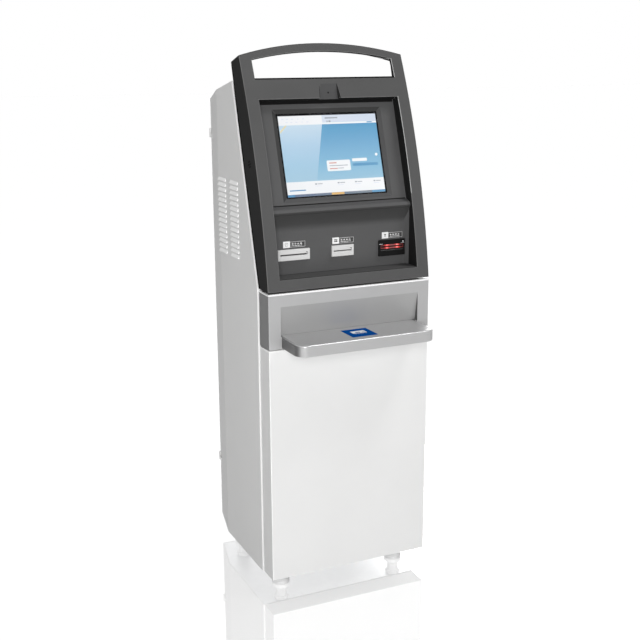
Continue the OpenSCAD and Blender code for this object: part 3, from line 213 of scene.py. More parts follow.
# What each surface group ends in: a tinted colour, an uneven gloss and a fine relief
def end_surface(group, inside, outside, shade, gloss_shift, relief, depth):
    tint = put(group, "ShaderNodeVectorMath", {0: inside["Color"], "Scale": shade}, operation="SCALE")
    bump = put(group, "ShaderNodeBump", {
        "Distance": depth, "Height": relief, "Strength": inside["Grain Height"]})
    fill(group, outside, {
        "Color": tint.outputs["Vector"],
        "Roughness": arith(group, "ADD", gloss_shift, inside["Roughness"]),
        "Normal": bump.outputs["Normal"],
    })


# Grain of paint and moulded plastic, with broad cloudy changes in shade and gloss
def grain_group(name, fine_kind, fine_output):
    group, inside, outside = new_group(name, SURFACE_IN, SURFACE_OUT)
    place = put(group, "ShaderNodeTexCoord").outputs["Object"]
    noise = put(group, "ShaderNodeTexNoise", {"Vector": place, "Scale": 5.0, "Detail": 4.0})
    cloud = noise.outputs["Fac"]
    fine = put(group, fine_kind, {"Vector": place, "Scale": inside["Grain Scale"]})
    shade = put(group, "ShaderNodeMapRange", {
        "Value": cloud, "From Min": 0.3, "From Max": 0.7,
        "To Min": arith(group, "SUBTRACT", 1.0, inside["Variation"]),
        "To Max": arith(group, "ADD", 1.0, inside["Variation"])})
    gloss_shift = spread(group, cloud, -CLOUD_GLOSS, CLOUD_GLOSS)
    end_surface(group, inside, outside, shade.outputs["Result"], gloss_shift, fine.outputs[fine_output],
                GRAIN_DEPTH)
    return group


# Fine lines left by rolling, brushing or winding, drawn out along one axis
def brushed_group(name, stretch):
    group, inside, outside = new_group(name, SURFACE_IN, SURFACE_OUT)
    place = put(group, "ShaderNodeTexCoord").outputs["Object"]
    drawn = put(group, "ShaderNodeMapping", {"Vector": place, "Scale": stretch}).outputs["Vector"]
    noise = put(group, "ShaderNodeTexNoise", {
        "Vector": drawn, "Scale": inside["Grain Scale"], "Detail": 3.0})
    lines = noise.outputs["Fac"]
    patches = put(group, "ShaderNodeTexVoronoi", {"Vector": place, "Scale": 45.0}).outputs["Distance"]
    mean = arith(group, "ADD", spread(group, lines, -1.0, 1.0), spread(group, patches, -0.5, 0.5))
    shade = arith(group, "MULTIPLY_ADD", mean, inside["Variation"], 1.0)
    gloss_shift = spread(group, lines, -LINE_GLOSS, LINE_GLOSS)
    end_surface(group, inside, outside, shade, gloss_shift, lines, LINE_DEPTH)
    return group


# Painted shade: paint made darker on faces turned aside or down, standing for the shade that light gives
# them. The Mix node's colours are told by number
PAINTED_SHADE_IN = [("Color", COLOR, GREY), ("Side Color", COLOR, GREY), ("Under Color", COLOR, GREY),
             ("Side Start", NUMBER, 0.6), ("Side End", NUMBER, 0.95),
             ("Under Start", NUMBER, 0.0), ("Under End", NUMBER, 0.4)]
MIX_FIRST = 6
MIX_SECOND = 7
MIX_RESULT = 2


def painted_shade_group(name):
    group, inside, outside = new_group(name, PAINTED_SHADE_IN, [("Color", COLOR)])
    normal = put(group, "ShaderNodeTexCoord").outputs["Normal"]
    parts = put(group, "ShaderNodeSeparateXYZ", {0: normal}).outputs
    aside = arith(group, "ABSOLUTE", parts["X"])
    down = arith(group, "MULTIPLY", parts["Z"], -1.0)
    shade = inside["Color"]
    for label, turned in (("Side", aside), ("Under", down)):
        share = put(group, "ShaderNodeMapRange", {
            "Value": turned, "From Min": inside[label + " Start"], "From Max": inside[label + " End"],
        }, interpolation_type="SMOOTHSTEP")
        blend = put(group, "ShaderNodeMix", {
            "Factor": share.outputs["Result"], MIX_FIRST: shade, MIX_SECOND: inside[label + " Color"],
        }, data_type="RGBA")
        shade = blend.outputs[MIX_RESULT]
    fill(group, outside, {"Color": shade})
    return group


PAINTED_SHADE = painted_shade_group("painted_side_shade")
PAINT = grain_group("sprayed_paint", "ShaderNodeTexNoise", "Fac")
PLASTIC = grain_group("moulded_grain", "ShaderNodeTexVoronoi", "Distance")
ROLLED = brushed_group("rolled_sheet", (1.0, 1.0, 0.04))
TURNED = brushed_group("drawn_metal", (0.05, 1.0, 1.0))


def finish(name, group, color, roughness, variation=0.04, scale=900.0, height=0.05, metal=0.0,
           specular=0.5, coat=0.0, coat_roughness=0.1, facing=None):
    tree = new_material(name)
    shade = (*color, 1.0)
    if facing:
        turned = {label: (value, value, value, 1.0) if "Color" in label else value
                  for label, value in facing.items()}
        turned["Color"] = shade
        shade = put(tree, "ShaderNodeGroup", turned, node_tree=PAINTED_SHADE).outputs["Color"]
    surface = put(tree, "ShaderNodeGroup", {
        "Color": shade, "Variation": variation, "Grain Scale": scale, "Grain Height": height,
        "Roughness": roughness}, node_tree=group).outputs
    fill(tree, tree.nodes["Principled BSDF"], {
        "Base Color": surface["Color"], "Roughness": surface["Roughness"], "Normal": surface["Normal"],
        "Metallic": metal, "Specular IOR Level": specular, "Coat Weight": coat,
        "Coat Roughness": coat_roughness})


# Painted shade for the silver, dark and fascia paints: their colours on faces turned aside and on faces
# turned down
SILVER_PAINTED_SHADE = {"Side Color": 0.09, "Under Color": 0.37, "Under End": 0.18}
DARK_PAINTED_SHADE = {"Side Color": 0.04, "Under Color": 0.02, "Under End": 0.6}
FASCIA_PAINTED_SHADE = {"Side Color": 0.05, "Under Color": 0.047, "Under End": 0.28}
SILVER_EDGE_PAINTED_SHADE = {"Side Color": 0.1, "Under Color": 0.3, "Under End": 0.4}
finish("white_paint", PAINT, (0.78, 0.78, 0.775), 0.42, variation=0.012, height=0.04, specular=0.06)
# Painted highlight: whiter paint with a clear coat on edges and on the side panels' front strip; painted
# light: paler paint on the louvres
finish("white_painted_highlight", PAINT, (0.9, 0.9, 0.895), 0.25, variation=0.03, height=0.03, coat=1.0,
       coat_roughness=0.12)
finish("louvre_painted_light", PAINT, (0.93, 0.93, 0.925), 0.35, variation=0.02, height=0.03, coat=1.0,
       coat_roughness=0.2)
finish("silver_paint", PAINT, (0.42, 0.42, 0.422), 0.38, variation=0.03, scale=1800.0, height=0.03,
       metal=0.15, facing=SILVER_PAINTED_SHADE)
# Silver edges: more metal to catch the lamps, a touch lighter, with painted shade on faces turned aside
# or down
finish("silver_edge", PAINT, (0.46, 0.46, 0.462), 0.22, variation=0.04, scale=1800.0, height=0.02,
       metal=0.35, specular=0.3, facing=SILVER_EDGE_PAINTED_SHADE)
# Painted highlight: near-white paint for the bright line along the band's top edge
finish("pale_painted_highlight", PAINT, (0.92, 0.92, 0.92), 0.3, variation=0.03, scale=1800.0, height=0.02)
finish("dark_paint", PAINT, (0.094, 0.094, 0.094), 0.45, variation=0.04, height=0.06, specular=0.0,
       facing=DARK_PAINTED_SHADE)
# Painted highlights on the head: dark paint made lighter on its edges, and brighter still for the glint
# on the recess's right edge
finish("dark_painted_highlight", PAINT, (0.15, 0.15, 0.15), 0.35, variation=0.06, height=0.04, specular=0.05)
finish("painted_glint_edge", PAINT, (0.46, 0.46, 0.46), 0.3, variation=0.06, height=0.04, specular=0.2)
finish("black_paint", PAINT, (0.02, 0.02, 0.02), 0.4, variation=0.1, height=0.08)
finish("zinc_steel", ROLLED, (0.6, 0.61, 0.62), 0.4, variation=0.12, scale=220.0, height=0.04, metal=1.0)
finish("steel", TURNED, (0.5, 0.5, 0.5), 0.34, variation=0.1, scale=500.0, height=0.05, metal=1.0)
finish("chrome", TURNED, (0.75, 0.75, 0.76), 0.12, variation=0.03, scale=300.0, height=0.01, metal=1.0)
finish("aluminium", TURNED, (0.68, 0.68, 0.69), 0.36, variation=0.06, scale=700.0, height=0.05, metal=1.0)
finish("blue_film", PLASTIC, (0.003, 0.07, 0.3), 0.4, variation=0.05, scale=2500.0, height=0.04,
       specular=0.0)
finish("circuit_board", PLASTIC, (0.02, 0.12, 0.05), 0.35, variation=0.2, scale=600.0, height=0.15)
finish("grey_plastic", PLASTIC, (0.1, 0.1, 0.105), 0.5, variation=0.08, scale=1400.0, height=0.2)
finish("black_plastic", PLASTIC, (0.008, 0.008, 0.008), 0.5, variation=0.1, scale=1400.0, height=0.1,
       specular=0.06)
finish("fascia_plastic", PLASTIC, (0.096, 0.096, 0.097), 0.5, variation=0.04, scale=1700.0, height=0.12,
       specular=0.05, facing=FASCIA_PAINTED_SHADE)
# Painted shade: darker copies of the fascia plastic for the bevel round the screen and the camera scoop's
# face
finish("bevel_shade", PLASTIC, (0.05, 0.05, 0.05), 0.5, variation=0.05, scale=1700.0, height=0.12,
       specular=0.05)
finish("bevel_half_shade", PLASTIC, (0.075, 0.075, 0.076), 0.5, variation=0.05, scale=1700.0, height=0.12,
       specular=0.05)
finish("matt_black", PLASTIC, (0.004, 0.004, 0.004), 0.9, variation=0.2, scale=2600.0, height=0.2,
       specular=0.0)
# Painted shade: near-black paint for the walls of the head's recess and the head's shaded edges
finish("recess_painted_shade", PAINT, (0.018, 0.018, 0.018), 0.45, variation=0.06, height=0.06, specular=0.0)
finish("screen", PLASTIC, (0.004, 0.004, 0.005), 0.3, variation=0.1, scale=3000.0, height=0.02,
       specular=0.1)
finish("lens", PLASTIC, (0.004, 0.004, 0.005), 0.12, variation=0.1, scale=2000.0, height=0.0)
finish("pale_plastic", PLASTIC, (0.62, 0.62, 0.616), 0.45, variation=0.03, scale=1700.0, height=0.12)
finish("label_film", PLASTIC, (0.8, 0.8, 0.8), 0.4, variation=0.03, scale=2200.0, height=0.05)
finish("roller_rubber", PLASTIC, (0.02, 0.02, 0.02), 0.75, variation=0.15, scale=2600.0, height=0.2)
finish("paper", TURNED, (0.8, 0.8, 0.78), 0.8, variation=0.04, scale=1500.0, height=0.1, specular=0.2)
finish("cassette_plastic", PLASTIC, (0.04, 0.05, 0.06), 0.5, variation=0.08, scale=1400.0, height=0.2)
finish("red_plastic", PLASTIC, (0.45, 0.015, 0.015), 0.3, variation=0.05, scale=1700.0, height=0.05)
finish("foot_plastic", PLASTIC, (0.86, 0.86, 0.86), 0.5, variation=0.06, scale=1400.0, height=0.15)
finish("dark_ink", PLASTIC, (0.05, 0.05, 0.05), 0.5, variation=0.1, scale=2200.0, height=0.03,
       specular=0.2)
finish("grey_ink", PLASTIC, (0.2, 0.2, 0.2), 0.5, variation=0.1, scale=2200.0, height=0.03, specular=0.2)
finish("white_ink", PLASTIC, (0.85, 0.85, 0.85), 0.45, variation=0.03, scale=2200.0, height=0.03)


# Touch glass, clear with faint smears
def glass_finish(name):
    tree = new_material(name)
    place = put(tree, "ShaderNodeTexCoord").outputs["Object"]
    smears = put(tree, "ShaderNodeTexNoise", {"Vector": place, "Scale": 14.0, "Detail": 5.0})
    fill(tree, tree.nodes["Principled BSDF"], {
        "Base Color": WHITE, "Roughness": spread(tree, smears.outputs["Fac"], 0.0, 0.05),
        "Transmission Weight": 1.0, "IOR": 1.12})


glass_finish("screen_glass")


# Lit surfaces: a colour that runs along one axis of a piece, behind a fine cell pattern
def tone(red, green, blue):
    return tuple((part / 255.0) ** 2.2 for part in (red, green, blue))


def ramp(tree, source, stops):
    node = put(tree, "ShaderNodeValToRGB", {"Fac": source})
    marks = node.color_ramp.elements
    for position, _ in stops[1:-1]:
        marks.new(position)
    for mark, (position, color) in zip(marks, stops):
        mark.position = position
        mark.color = (*color, 1.0)
    return node.outputs["Color"]


def lit_finish(name, axis, low, high, *tones):
    tree = new_material(name)
    place = put(tree, "ShaderNodeTexCoord").outputs["Object"]
    parts = put(tree, "ShaderNodeSeparateXYZ", {0: place}).outputs
    run = put(tree, "ShaderNodeMapRange", {"Value": parts[axis], "From Min": low, "From Max": high})
    cells = put(tree, "ShaderNodeTexNoise", {"Vector": place, "Scale": 1500.0}).outputs["Fac"]
    shift = arith(tree, "MULTIPLY_ADD", cells, 0.03, run.outputs["Result"])
    stops = [(i / (len(tones) - 1), tone(*color)) for i, color in enumerate(tones)]
    fill(tree, tree.nodes["Principled BSDF"], {
        "Emission Color": ramp(tree, shift, stops), "Emission Strength": 1.0,
        "Base Color": (0.01, 0.01, 0.01, 1.0), "Specular IOR Level": 0.1, "Roughness": 0.4})


SKY_LOW = 1.18
SKY_HIGH = 1.343
EDGE_X = 0.152
for name, *tones in (
    ("picture_white", (238, 240, 243), (246, 248, 250)),
    ("picture_bar", (224, 230, 240), (208, 218, 234)),
    ("picture_grey", (150, 155, 165), (165, 170, 180)),
    ("picture_red", (205, 150, 145), (215, 160, 150)),
    ("picture_blue", (80, 140, 185), (105, 160, 200)),
    ("picture_task", (102, 118, 146), (131, 142, 150)),
    ("picture_cream", (226, 216, 178), (232, 222, 186)),
    ("picture_orange", (225, 175, 105), (230, 190, 125)),
):
    lit_finish(name, "X", -EDGE_X, EDGE_X, *tones)
lit_finish("picture_pale_sky", "Z", SKY_LOW, SKY_HIGH,
           (166, 201, 221), (164, 201, 225), (177, 207, 230), (198, 219, 235))
lit_finish("picture_sky", "Z", SKY_LOW, SKY_HIGH,
           (160, 199, 221), (136, 187, 217), (117, 171, 208), (92, 157, 199))

# Light frame round the banknote entry, with a red glow near each end
NOTE_X = at("note_bezel", MID, LOW, MID).translation.x
NOTE_REACH = 0.036
NOTE_GLOW = ((0.0, (0.12, 0.05, 0.05)), (0.42, (0.2, 0.05, 0.05)), (0.52, (0.8, 0.03, 0.025)),
             (0.62, (1.0, 0.35, 0.32)), (0.72, (0.8, 0.03, 0.025)), (0.86, (0.05, 0.003, 0.003)),
             (1.0, (0.01, 0.002, 0.002)))


def entry_light_finish(name):
    tree = new_material(name)
    place = put(tree, "ShaderNodeTexCoord").outputs["Object"]
    parts = put(tree, "ShaderNodeSeparateXYZ", {0: place}).outputs
    reach = arith(tree, "ABSOLUTE", arith(tree, "SUBTRACT", parts["X"], NOTE_X))
    patches = put(tree, "ShaderNodeTexNoise", {"Vector": place, "Scale": 260.0}).outputs["Fac"]
    uneven = arith(tree, "MULTIPLY_ADD", patches, 0.012, reach)
    run = put(tree, "ShaderNodeMapRange", {"Value": uneven, "From Max": NOTE_REACH})
    fill(tree, tree.nodes["Principled BSDF"], {
        "Emission Color": ramp(tree, run.outputs["Result"], NOTE_GLOW), "Emission Strength": 1.0,
        "Base Color": (0.1, 0.01, 0.01, 1.0), "Roughness": 0.3})


entry_light_finish("red_light")


# Pieces
def add_piece(name, form, names, body):
    mesh = bpy.data.meshes.new(name)
    form.to_mesh(mesh)
    form.free()
    for material_name in names:
        mesh.materials.append(materials[material_name])
    piece = bpy.data.objects.new(name, mesh)
    scene.collection.objects.link(piece)
    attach(piece, body)
    return piece


def face_turn(edge):
    return edge.calc_face_angle(0.0) if len(edge.link_faces) == 2 else 0.0


# A CAD piece with its edges rounded over, as pressed, folded or moulded parts have. A lead gives the
# edges of the faces that look one way a wider round: direction, radius in millimetres, finish, and
# whether only the outer rim is meant. A turned row gives the faces that look one way a finish:
# direction, how far from the middle, finish
WELD = 0.00001
SLIVER = 0.000001
FLAT = math.radians(0.2)
SHARP = math.radians(25.0)
CREASE = 40.0
TOUCH = 0.0001
PLATE_AREA = 0.05
BEND_AREA = 0.01
BEND_LOW = math.radians(10.0)
BEND_HIGH = math.radians(20.0)
ALIKE = 0.999
SQUARE_ON = 0.8
LOOKS_ALONG = 0.5
LEAD_STEPS = 4
EASE_STEPS = 2
FRONT = Vector((0.0, -1.0, 0.0))
TOP = Vector((0.0, 0.0, 1.0))


def round_edges(form, edges, radius, segments):
    return bmesh.ops.bevel(form, geom=edges, offset=radius * MM, offset_type="OFFSET", affect="EDGES",
                           segments=segments, profile=0.5, material=-1, clamp_overlap=False)["faces"]


def on_rim(vert, low, high):
    gaps = [min(abs(vert.co[i] - low[i]), abs(vert.co[i] - high[i])) for i in range(3)]
    return sum(gap < TOUCH for gap in gaps) > 1


def eased(node, radius, *leads, crease=CREASE, shortest=0.0, raised_finish=None, flat_finish=None,
          bend=0.0, turned=()):
    form = bmesh.new()
    form.from_mesh(frame["nodes"][node].data)
    bmesh.ops.remove_doubles(form, verts=form.verts[:], dist=WELD)
    bmesh.ops.dissolve_limit(form, angle_limit=FLAT, verts=form.verts[:], edges=form.edges[:])
    names = [slot_of[node]]
    low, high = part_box(node)

    def index_of(finish_name):
        if finish_name not in names:
            names.append(finish_name)
        return names.index(finish_name)

    def sharp_edges():
        return [edge for edge in form.edges
                if face_turn(edge) > SHARP and edge.calc_length() > shortest * MM
                and not any(face.material_index for face in edge.link_faces)]

    for lead, lead_radius, edge_finish, rim_only in leads:
        rim = [edge for edge in sharp_edges()
               if any(face.normal.dot(lead) > LOOKS_ALONG for face in edge.link_faces)
               and (not rim_only or all(on_rim(vert, low, high) for vert in edge.verts))]
        index = index_of(edge_finish)
        for face in round_edges(form, rim, lead_radius, LEAD_STEPS):
            face.material_index = index
    if radius:
        round_edges(form, sharp_edges(), radius, EASE_STEPS)
    if bend:
        folds = [edge for edge in form.edges if BEND_LOW < face_turn(edge) < BEND_HIGH
                 and all(face.calc_area() > BEND_AREA for face in edge.link_faces)]
        round_edges(form, folds, bend, 1)
    bmesh.ops.dissolve_degenerate(form, dist=SLIVER, edges=form.edges[:])
    if raised_finish:
        index = index_of(raised_finish)
        plate = max(abs(face.calc_center_median().x) for face in form.faces
                    if face.calc_area() > PLATE_AREA)
        for face in form.faces:
            if abs(face.calc_center_median().x) > plate + TOUCH:
                face.material_index = index
    for face in form.faces:
        face.smooth = True
        if flat_finish and face.normal.dot(FRONT) > SQUARE_ON:
            face.material_index = index_of(flat_finish)
    for direction, reach, turned_finish in turned:
        index = index_of(turned_finish)
        facing = Vector(direction).normalized()
        for face in form.faces:
            if face.normal.dot(facing) > ALIKE and abs(face.calc_center_median().x) < reach:
                face.material_index = index
    piece = add_piece("eased_" + node, form, names, body_of[node])
    piece.data.set_sharp_from_angle(angle=math.radians(crease))
    weight = piece.modifiers.new("even_shading", "WEIGHTED_NORMAL")
    weight.keep_sharp = True
    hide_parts(node)
    return piece


PAINTED_HINGES = ("rear_hinge_pins", "rear_hinge_sleeves")
for node, model in frame["nodes"].items():
    model.data.materials.clear()
    model.data.materials.append(materials["white_paint" if node in PAINTED_HINGES else slot_of[node]])

# Painted shade by the way faces turn: on the bevel round the screen, and near-black on the walls of the
# head's recess
RECESS_HALF = 0.24
WHOLE = 1.0
FASCIA_TURNED = (
    ((0.0, -1.0, -0.07), WHOLE, "bevel_shade"),
    ((0.37, -0.88, 0.28), WHOLE, "bevel_shade"),
    ((-0.37, -0.88, 0.28), WHOLE, "bevel_half_shade"),
    ((0.0, -0.77, 0.64), WHOLE, "bevel_half_shade"),
    ((0.56, -0.83, 0.0), WHOLE, "bevel_half_shade"),
    ((-0.56, -0.83, 0.0), WHOLE, "bevel_half_shade"),
)
BEZEL_TURNED = tuple(((side, 0.0, 0.0), RECESS_HALF, "recess_painted_shade") for side in (-1.0, 1.0))
EASED = {
    "top_panel": 0.3, "rear_door": 0.6, "rear_sill": 0.5,
    "shelf_pad": 0.3, "receipt_plate": 0.8, "card_plate": 0.8, "note_bezel": 0.8,
    "base_tray": 0.4, "cross_rail": 0.4, "shelf_base": 0.4, "device_shelf": 0.4, "printer_body": 0.4,
    "roll_cradle": 0.4, "card_reader": 0.4, "note_acceptor": 0.4, "computer_case": 0.4,
    "power_supply": 0.4, "fan_frame": 0.4, "mains_inlet": 0.4, "note_cassette": 0.4,
    "rear_lock_body": 0.4, "door_latch": 0.4, "pad_reader": 0.4,
}
for node, radius in EASED.items():
    eased(node, radius)
# Side panels: paler paint on the louvres and whiter paint on the front strip and front edges, painted as
# light and highlight
for node in ("left_side_panel", "right_side_panel"):
    eased(node, 0.4, (FRONT, 0.9, "white_painted_highlight", False), crease=4.0, shortest=60.0,
          raised_finish="louvre_painted_light", flat_finish="white_painted_highlight")
# Painted highlights: whiter paint on the door's top and front edges, near-white paint on the band's top
# edge
eased("front_door", 0.5, (TOP, 4.0, "white_painted_highlight", True), (FRONT, 2.2, "white_painted_highlight", True))
eased("band", 0.0, (TOP, 4.5, "pale_painted_highlight", True), (FRONT, 1.6, "silver_edge", True), crease=8.0)
eased("shelf_tray", 0.8, (TOP, 5.5, "silver_edge", False))
eased("fascia", 0.7, crease=12.0, bend=10.0, turned=FASCIA_TURNED)
bezel = eased("head_bezel", 0.3, (FRONT, 1.6, "dark_painted_highlight", False), shortest=1.5, turned=BEZEL_TURNED)

# Painted shade and highlight on the head: edges that look up, at its right side and round the camera
# scoop are painted dark as shade; the scoop's face is painted a shade darker than the head; the right
# edge of the recess gets a painted glint
EDGE_LIFT = 0.5
EDGE_ASIDE = 0.15
RIGHT_SIDE = 0.245
SCOOP_HALF = 0.045
SCOOP_LOW = 1.38
SCOOP_FACING = Vector((0.0, -0.996, 0.092))
GLINT_LEFT = 0.205
GLINT_RIGHT = 0.22
GLINT_LOW = 1.14
GLINT_FRONT = -0.2
for finish_name in ("painted_glint_edge", "bevel_half_shade"):
    bezel.data.materials.append(materials[finish_name])
bezel_index = {material.name: i for i, material in enumerate(bezel.data.materials)}
for face in bezel.data.polygons:
    across_x, _, height = face.center
    on_scoop = abs(across_x) < SCOOP_HALF and height > SCOOP_LOW
    on_edge = face.material_index == bezel_index["dark_painted_highlight"]
    on_recess = GLINT_LEFT < across_x < GLINT_RIGHT and face.normal.x < -EDGE_ASIDE
    if on_scoop and face.normal.dot(SCOOP_FACING) > ALIKE:
        face.material_index = bezel_index["bevel_half_shade"]
    elif on_recess and face.normal.y < GLINT_FRONT:
        if height > GLINT_LOW:
            face.material_index = bezel_index["painted_glint_edge"]
    elif on_edge and (face.normal.z > EDGE_LIFT or on_scoop and abs(face.normal.x) > EDGE_ASIDE
                      or across_x > RIGHT_SIDE and face.normal.x > EDGE_ASIDE):
        face.material_index = bezel_index["recess_painted_shade"]

# Small parts on the devices and fittings, in millimetres, with eased edges
SMALL_EASE = 0.4
EASE_SHARE = 0.2
QUARTER = math.radians(90.0)
TURN_TO = {"X": Matrix.Rotation(QUARTER, 4, "Y"), "Y": Matrix.Rotation(QUARTER, 4, "X"), "Z": HOME}


def ease_new(form, verts, smallest, index):
    edges = dict.fromkeys(edge for vert in verts for edge in vert.link_edges if face_turn(edge) > SHARP)
    faces = dict.fromkeys(face for vert in verts for face in vert.link_faces)
    made = round_edges(form, list(edges), min(SMALL_EASE, EASE_SHARE * smallest), EASE_STEPS)
    for face in [face for face in faces if face.is_valid] + made:
        face.material_index = index
        face.smooth = True


def block(low, high, plane=HOME):
    def build(form, index):
        verts = bmesh.ops.create_cube(form, size=1.0)["verts"]
        span = [b - a for a, b in zip(low, high)]
        bmesh.ops.scale(form, vec=[side * MM for side in span], verts=verts)
        bmesh.ops.translate(form, vec=[(a + b) / 2 * MM for a, b in zip(low, high)], verts=verts)
        bmesh.ops.transform(form, matrix=plane, verts=verts)
        ease_new(form, verts, min(span), index)
    return build


def rod(axis, middle, radius, length, sides=24, plane=HOME):
    def build(form, index):
        verts = bmesh.ops.create_cone(form, cap_ends=True, segments=sides, radius1=radius * MM,
                                      radius2=radius * MM, depth=length * MM)["verts"]
        place = plane @ Matrix.Translation(Vector(middle) * MM) @ TURN_TO[axis]
        bmesh.ops.transform(form, matrix=place, verts=verts)
        ease_new(form, verts, min(radius, length), index)
    return build


def small_parts(name, node, *parts, slot=None):
    form = bmesh.new()
    names = sorted({finish_name for finish_name, _ in parts})
    for finish_name, build in parts:
        build(form, names.index(finish_name))
    piece = add_piece(name, form, names, body_of[node])
    piece.data.set_sharp_from_angle(angle=math.radians(CREASE))
    return piece


# Sockets and lid screws of the computer
PORTS = ((10, 17, 13, 28), (33, 15, 13, 29), (53, 15, 13, 29), (74, 32, 14, 26),
         (112, 10, 14, 24), (10, 13, 38, 48), (30, 13, 38, 48))
PORT_SUNK = -1.0
PORT_PROUD = 1.6
HOLE_PROUD = 1.8
PORT_WALL = 1.5
rear = at("computer_case", LOW, HIGH, LOW)
lid = at("computer_case", LOW, LOW, HIGH)
ports = []
for left, wide, low, high in PORTS:
    right = left + wide
    ports.append(("aluminium", block((left, PORT_SUNK, low), (right, PORT_PROUD, high), rear)))
    ports.append(("black_plastic", block((left + PORT_WALL, 0.0, low + PORT_WALL),
                                         (right - PORT_WALL, HOLE_PROUD, high - PORT_WALL), rear)))
for x in (8.0, 202.0):
    for y in (7.9, 241.9):
        ports.append(("steel", rod("Z", (x, y, 0.5), radius=3.2, length=2.0, plane=lid)))
        ports.append(("dark_ink", block((x - 2.0, y - 0.4, 1.0), (x + 2.0, y + 0.4, 1.6), lid)))
small_parts("computer_fittings", "computer_case", *ports)

# Terminal strip and air holes of the power supply
TERMINALS = 6
TERMINAL_PITCH = 10.4
rear = at("power_supply", LOW, HIGH, LOW)
lid = at("power_supply", LOW, LOW, HIGH)
strip = [("black_plastic", block((5, -1.0, 8), (69, 4.9, 26), rear))]
for i in range(TERMINALS + 1):
    left = 5 + i * TERMINAL_PITCH
    strip.append(("black_plastic", block((left, 3.9, 8), (left + 1.6, 9.9, 26), rear)))
for i in range(TERMINALS):
    middle = 11 + i * TERMINAL_PITCH
    strip.append(("aluminium", block((middle - 3.6, 4.4, 10), (middle + 3.6, 5.9, 24), rear)))
    strip.append(("steel", rod("Y", (middle, 6.5, 17), radius=3.0, length=2.4, plane=rear)))
for i in range(5):
    for j in range(9):
        hole = (13 + i * 12, 17.9 + j * 14, 0.0)
        strip.append(("dark_ink", rod("Z", hole, radius=3.0, length=0.4, sides=12, plane=lid)))
small_parts("supply_fittings", "power_supply", *strip)

# Lid seam, feed button, lamp, release lever and gear of the receipt printer
GEAR_X = -1.6
GEAR_Y = 48.5
GEAR_Z = -54.5
TEETH = 14
TEETH_RING = 11.2
lid = at("printer_body", LOW, LOW, HIGH)
printer_bits = [
    ("dark_ink", block((2, 72.0, -0.4), (102, 72.8, 0.2), lid)),
    ("pale_plastic", block((78, 24.4, -0.5), (94, 34.4, 2), lid)),
    ("red_plastic", rod("Z", (70, 29.4, 0.2), radius=1.8, length=1.6, plane=lid)),
    ("blue_film", block((103.5, 50.4, -33), (108, 62.4, -27), lid)),
    ("blue_film", block((103.5, 54.4, -28), (107, 58.4, -7), lid)),
    ("pale_plastic", rod("X", (GEAR_X, GEAR_Y, GEAR_Z), radius=11.0, length=4.0, sides=28, plane=lid)),
    ("steel", rod("X", (GEAR_X - 1.6, GEAR_Y, GEAR_Z), radius=3.0, length=3.0, plane=lid)),
]
for i in range(TEETH):
    angle = 2 * math.pi * i / TEETH
    tooth = (GEAR_X, GEAR_Y + TEETH_RING * math.cos(angle), GEAR_Z + TEETH_RING * math.sin(angle))
    printer_bits.append(("pale_plastic", rod("X", tooth, radius=1.3, length=3.2, sides=8, plane=lid)))
small_parts("printer_fittings", "printer_body", *printer_bits)

# Circuit board on the card reader, with chips, capacitors and plug sockets
board = at("card_reader", LOW, LOW, HIGH, step=(6.0, 72.4, 0.0))
small_parts(
    "reader_board", "card_reader",
    ("circuit_board", block((0, 0, -0.5), (72, 104, 1.6), board)),
    ("black_plastic", block((12, 20, 1.4), (34, 42, 3.4), board)),
    ("black_plastic", block((44, 52, 1.4), (62, 64, 3.2), board)),
    ("black_plastic", block((8, 62, 1.4), (20, 68, 3.2), board)),
    ("aluminium", rod("Z", (52, 26, 4.5), radius=4.0, length=7.0, plane=board)),
    ("aluminium", rod("Z", (62, 26, 4.5), radius=4.0, length=7.0, plane=board)),
    ("pale_plastic", block((4, 92, 1.4), (36, 101, 8), board)),
    ("pale_plastic", block((44, 94, 1.4), (66, 101, 7), board)),
)

# Lid seam, release catch, lamp and screws of the banknote acceptor
lid = at("note_acceptor", LOW, LOW, HIGH)
small_parts(
    "acceptor_fittings", "note_acceptor",
    ("dark_ink", block((1, 80.0, -0.4), (91, 80.8, 0.2), lid)),
    ("blue_film", block((27, 84.4, -0.5), (65, 98.4, 3), lid)),
    ("blue_film", block((31, 94.4, 2.5), (61, 97.4, 6), lid)),
    ("red_plastic", rod("Z", (77, 20.4, 0.2), radius=2.0, length=1.8, plane=lid)),
    ("steel", rod("Z", (9, 14.4, 0.2), radius=2.6, length=1.6, plane=lid)),
    ("steel", rod("Z", (83, 112.4, 0.2), radius=2.6, length=1.6, plane=lid)),
)

# Lid seam and lock of the cassette
lid = at("note_cassette", LOW, LOW, HIGH)
small_parts(
    "cassette_fittings", "note_cassette",
    ("dark_ink", block((1, 23.6, -0.4), (87, 24.4, 0.2), lid)),
    ("chrome", rod("Z", (44, 123.6, 0.3), radius=8.0, length=2.4, plane=lid)),
    ("dark_ink", block((40.5, 123.0, 0.9), (47.5, 124.2, 1.7), lid)),
)

# Screws of the fan and the cap on its hub
FAN_SCREWS = (-52, 52)
fan_face = at("fan_frame", HIGH, MID, MID)
small_parts("fan_screws", "fan_frame", *[
    ("steel", rod("X", (0.4, y, z), radius=3.4, length=2.0, plane=fan_face))
    for y in FAN_SCREWS for z in FAN_SCREWS])
small_parts("fan_cap", "fan_rotor",
            ("grey_ink", rod("X", (-0.9, 0, 0), radius=15.0, length=0.6, plane=fan_face)))

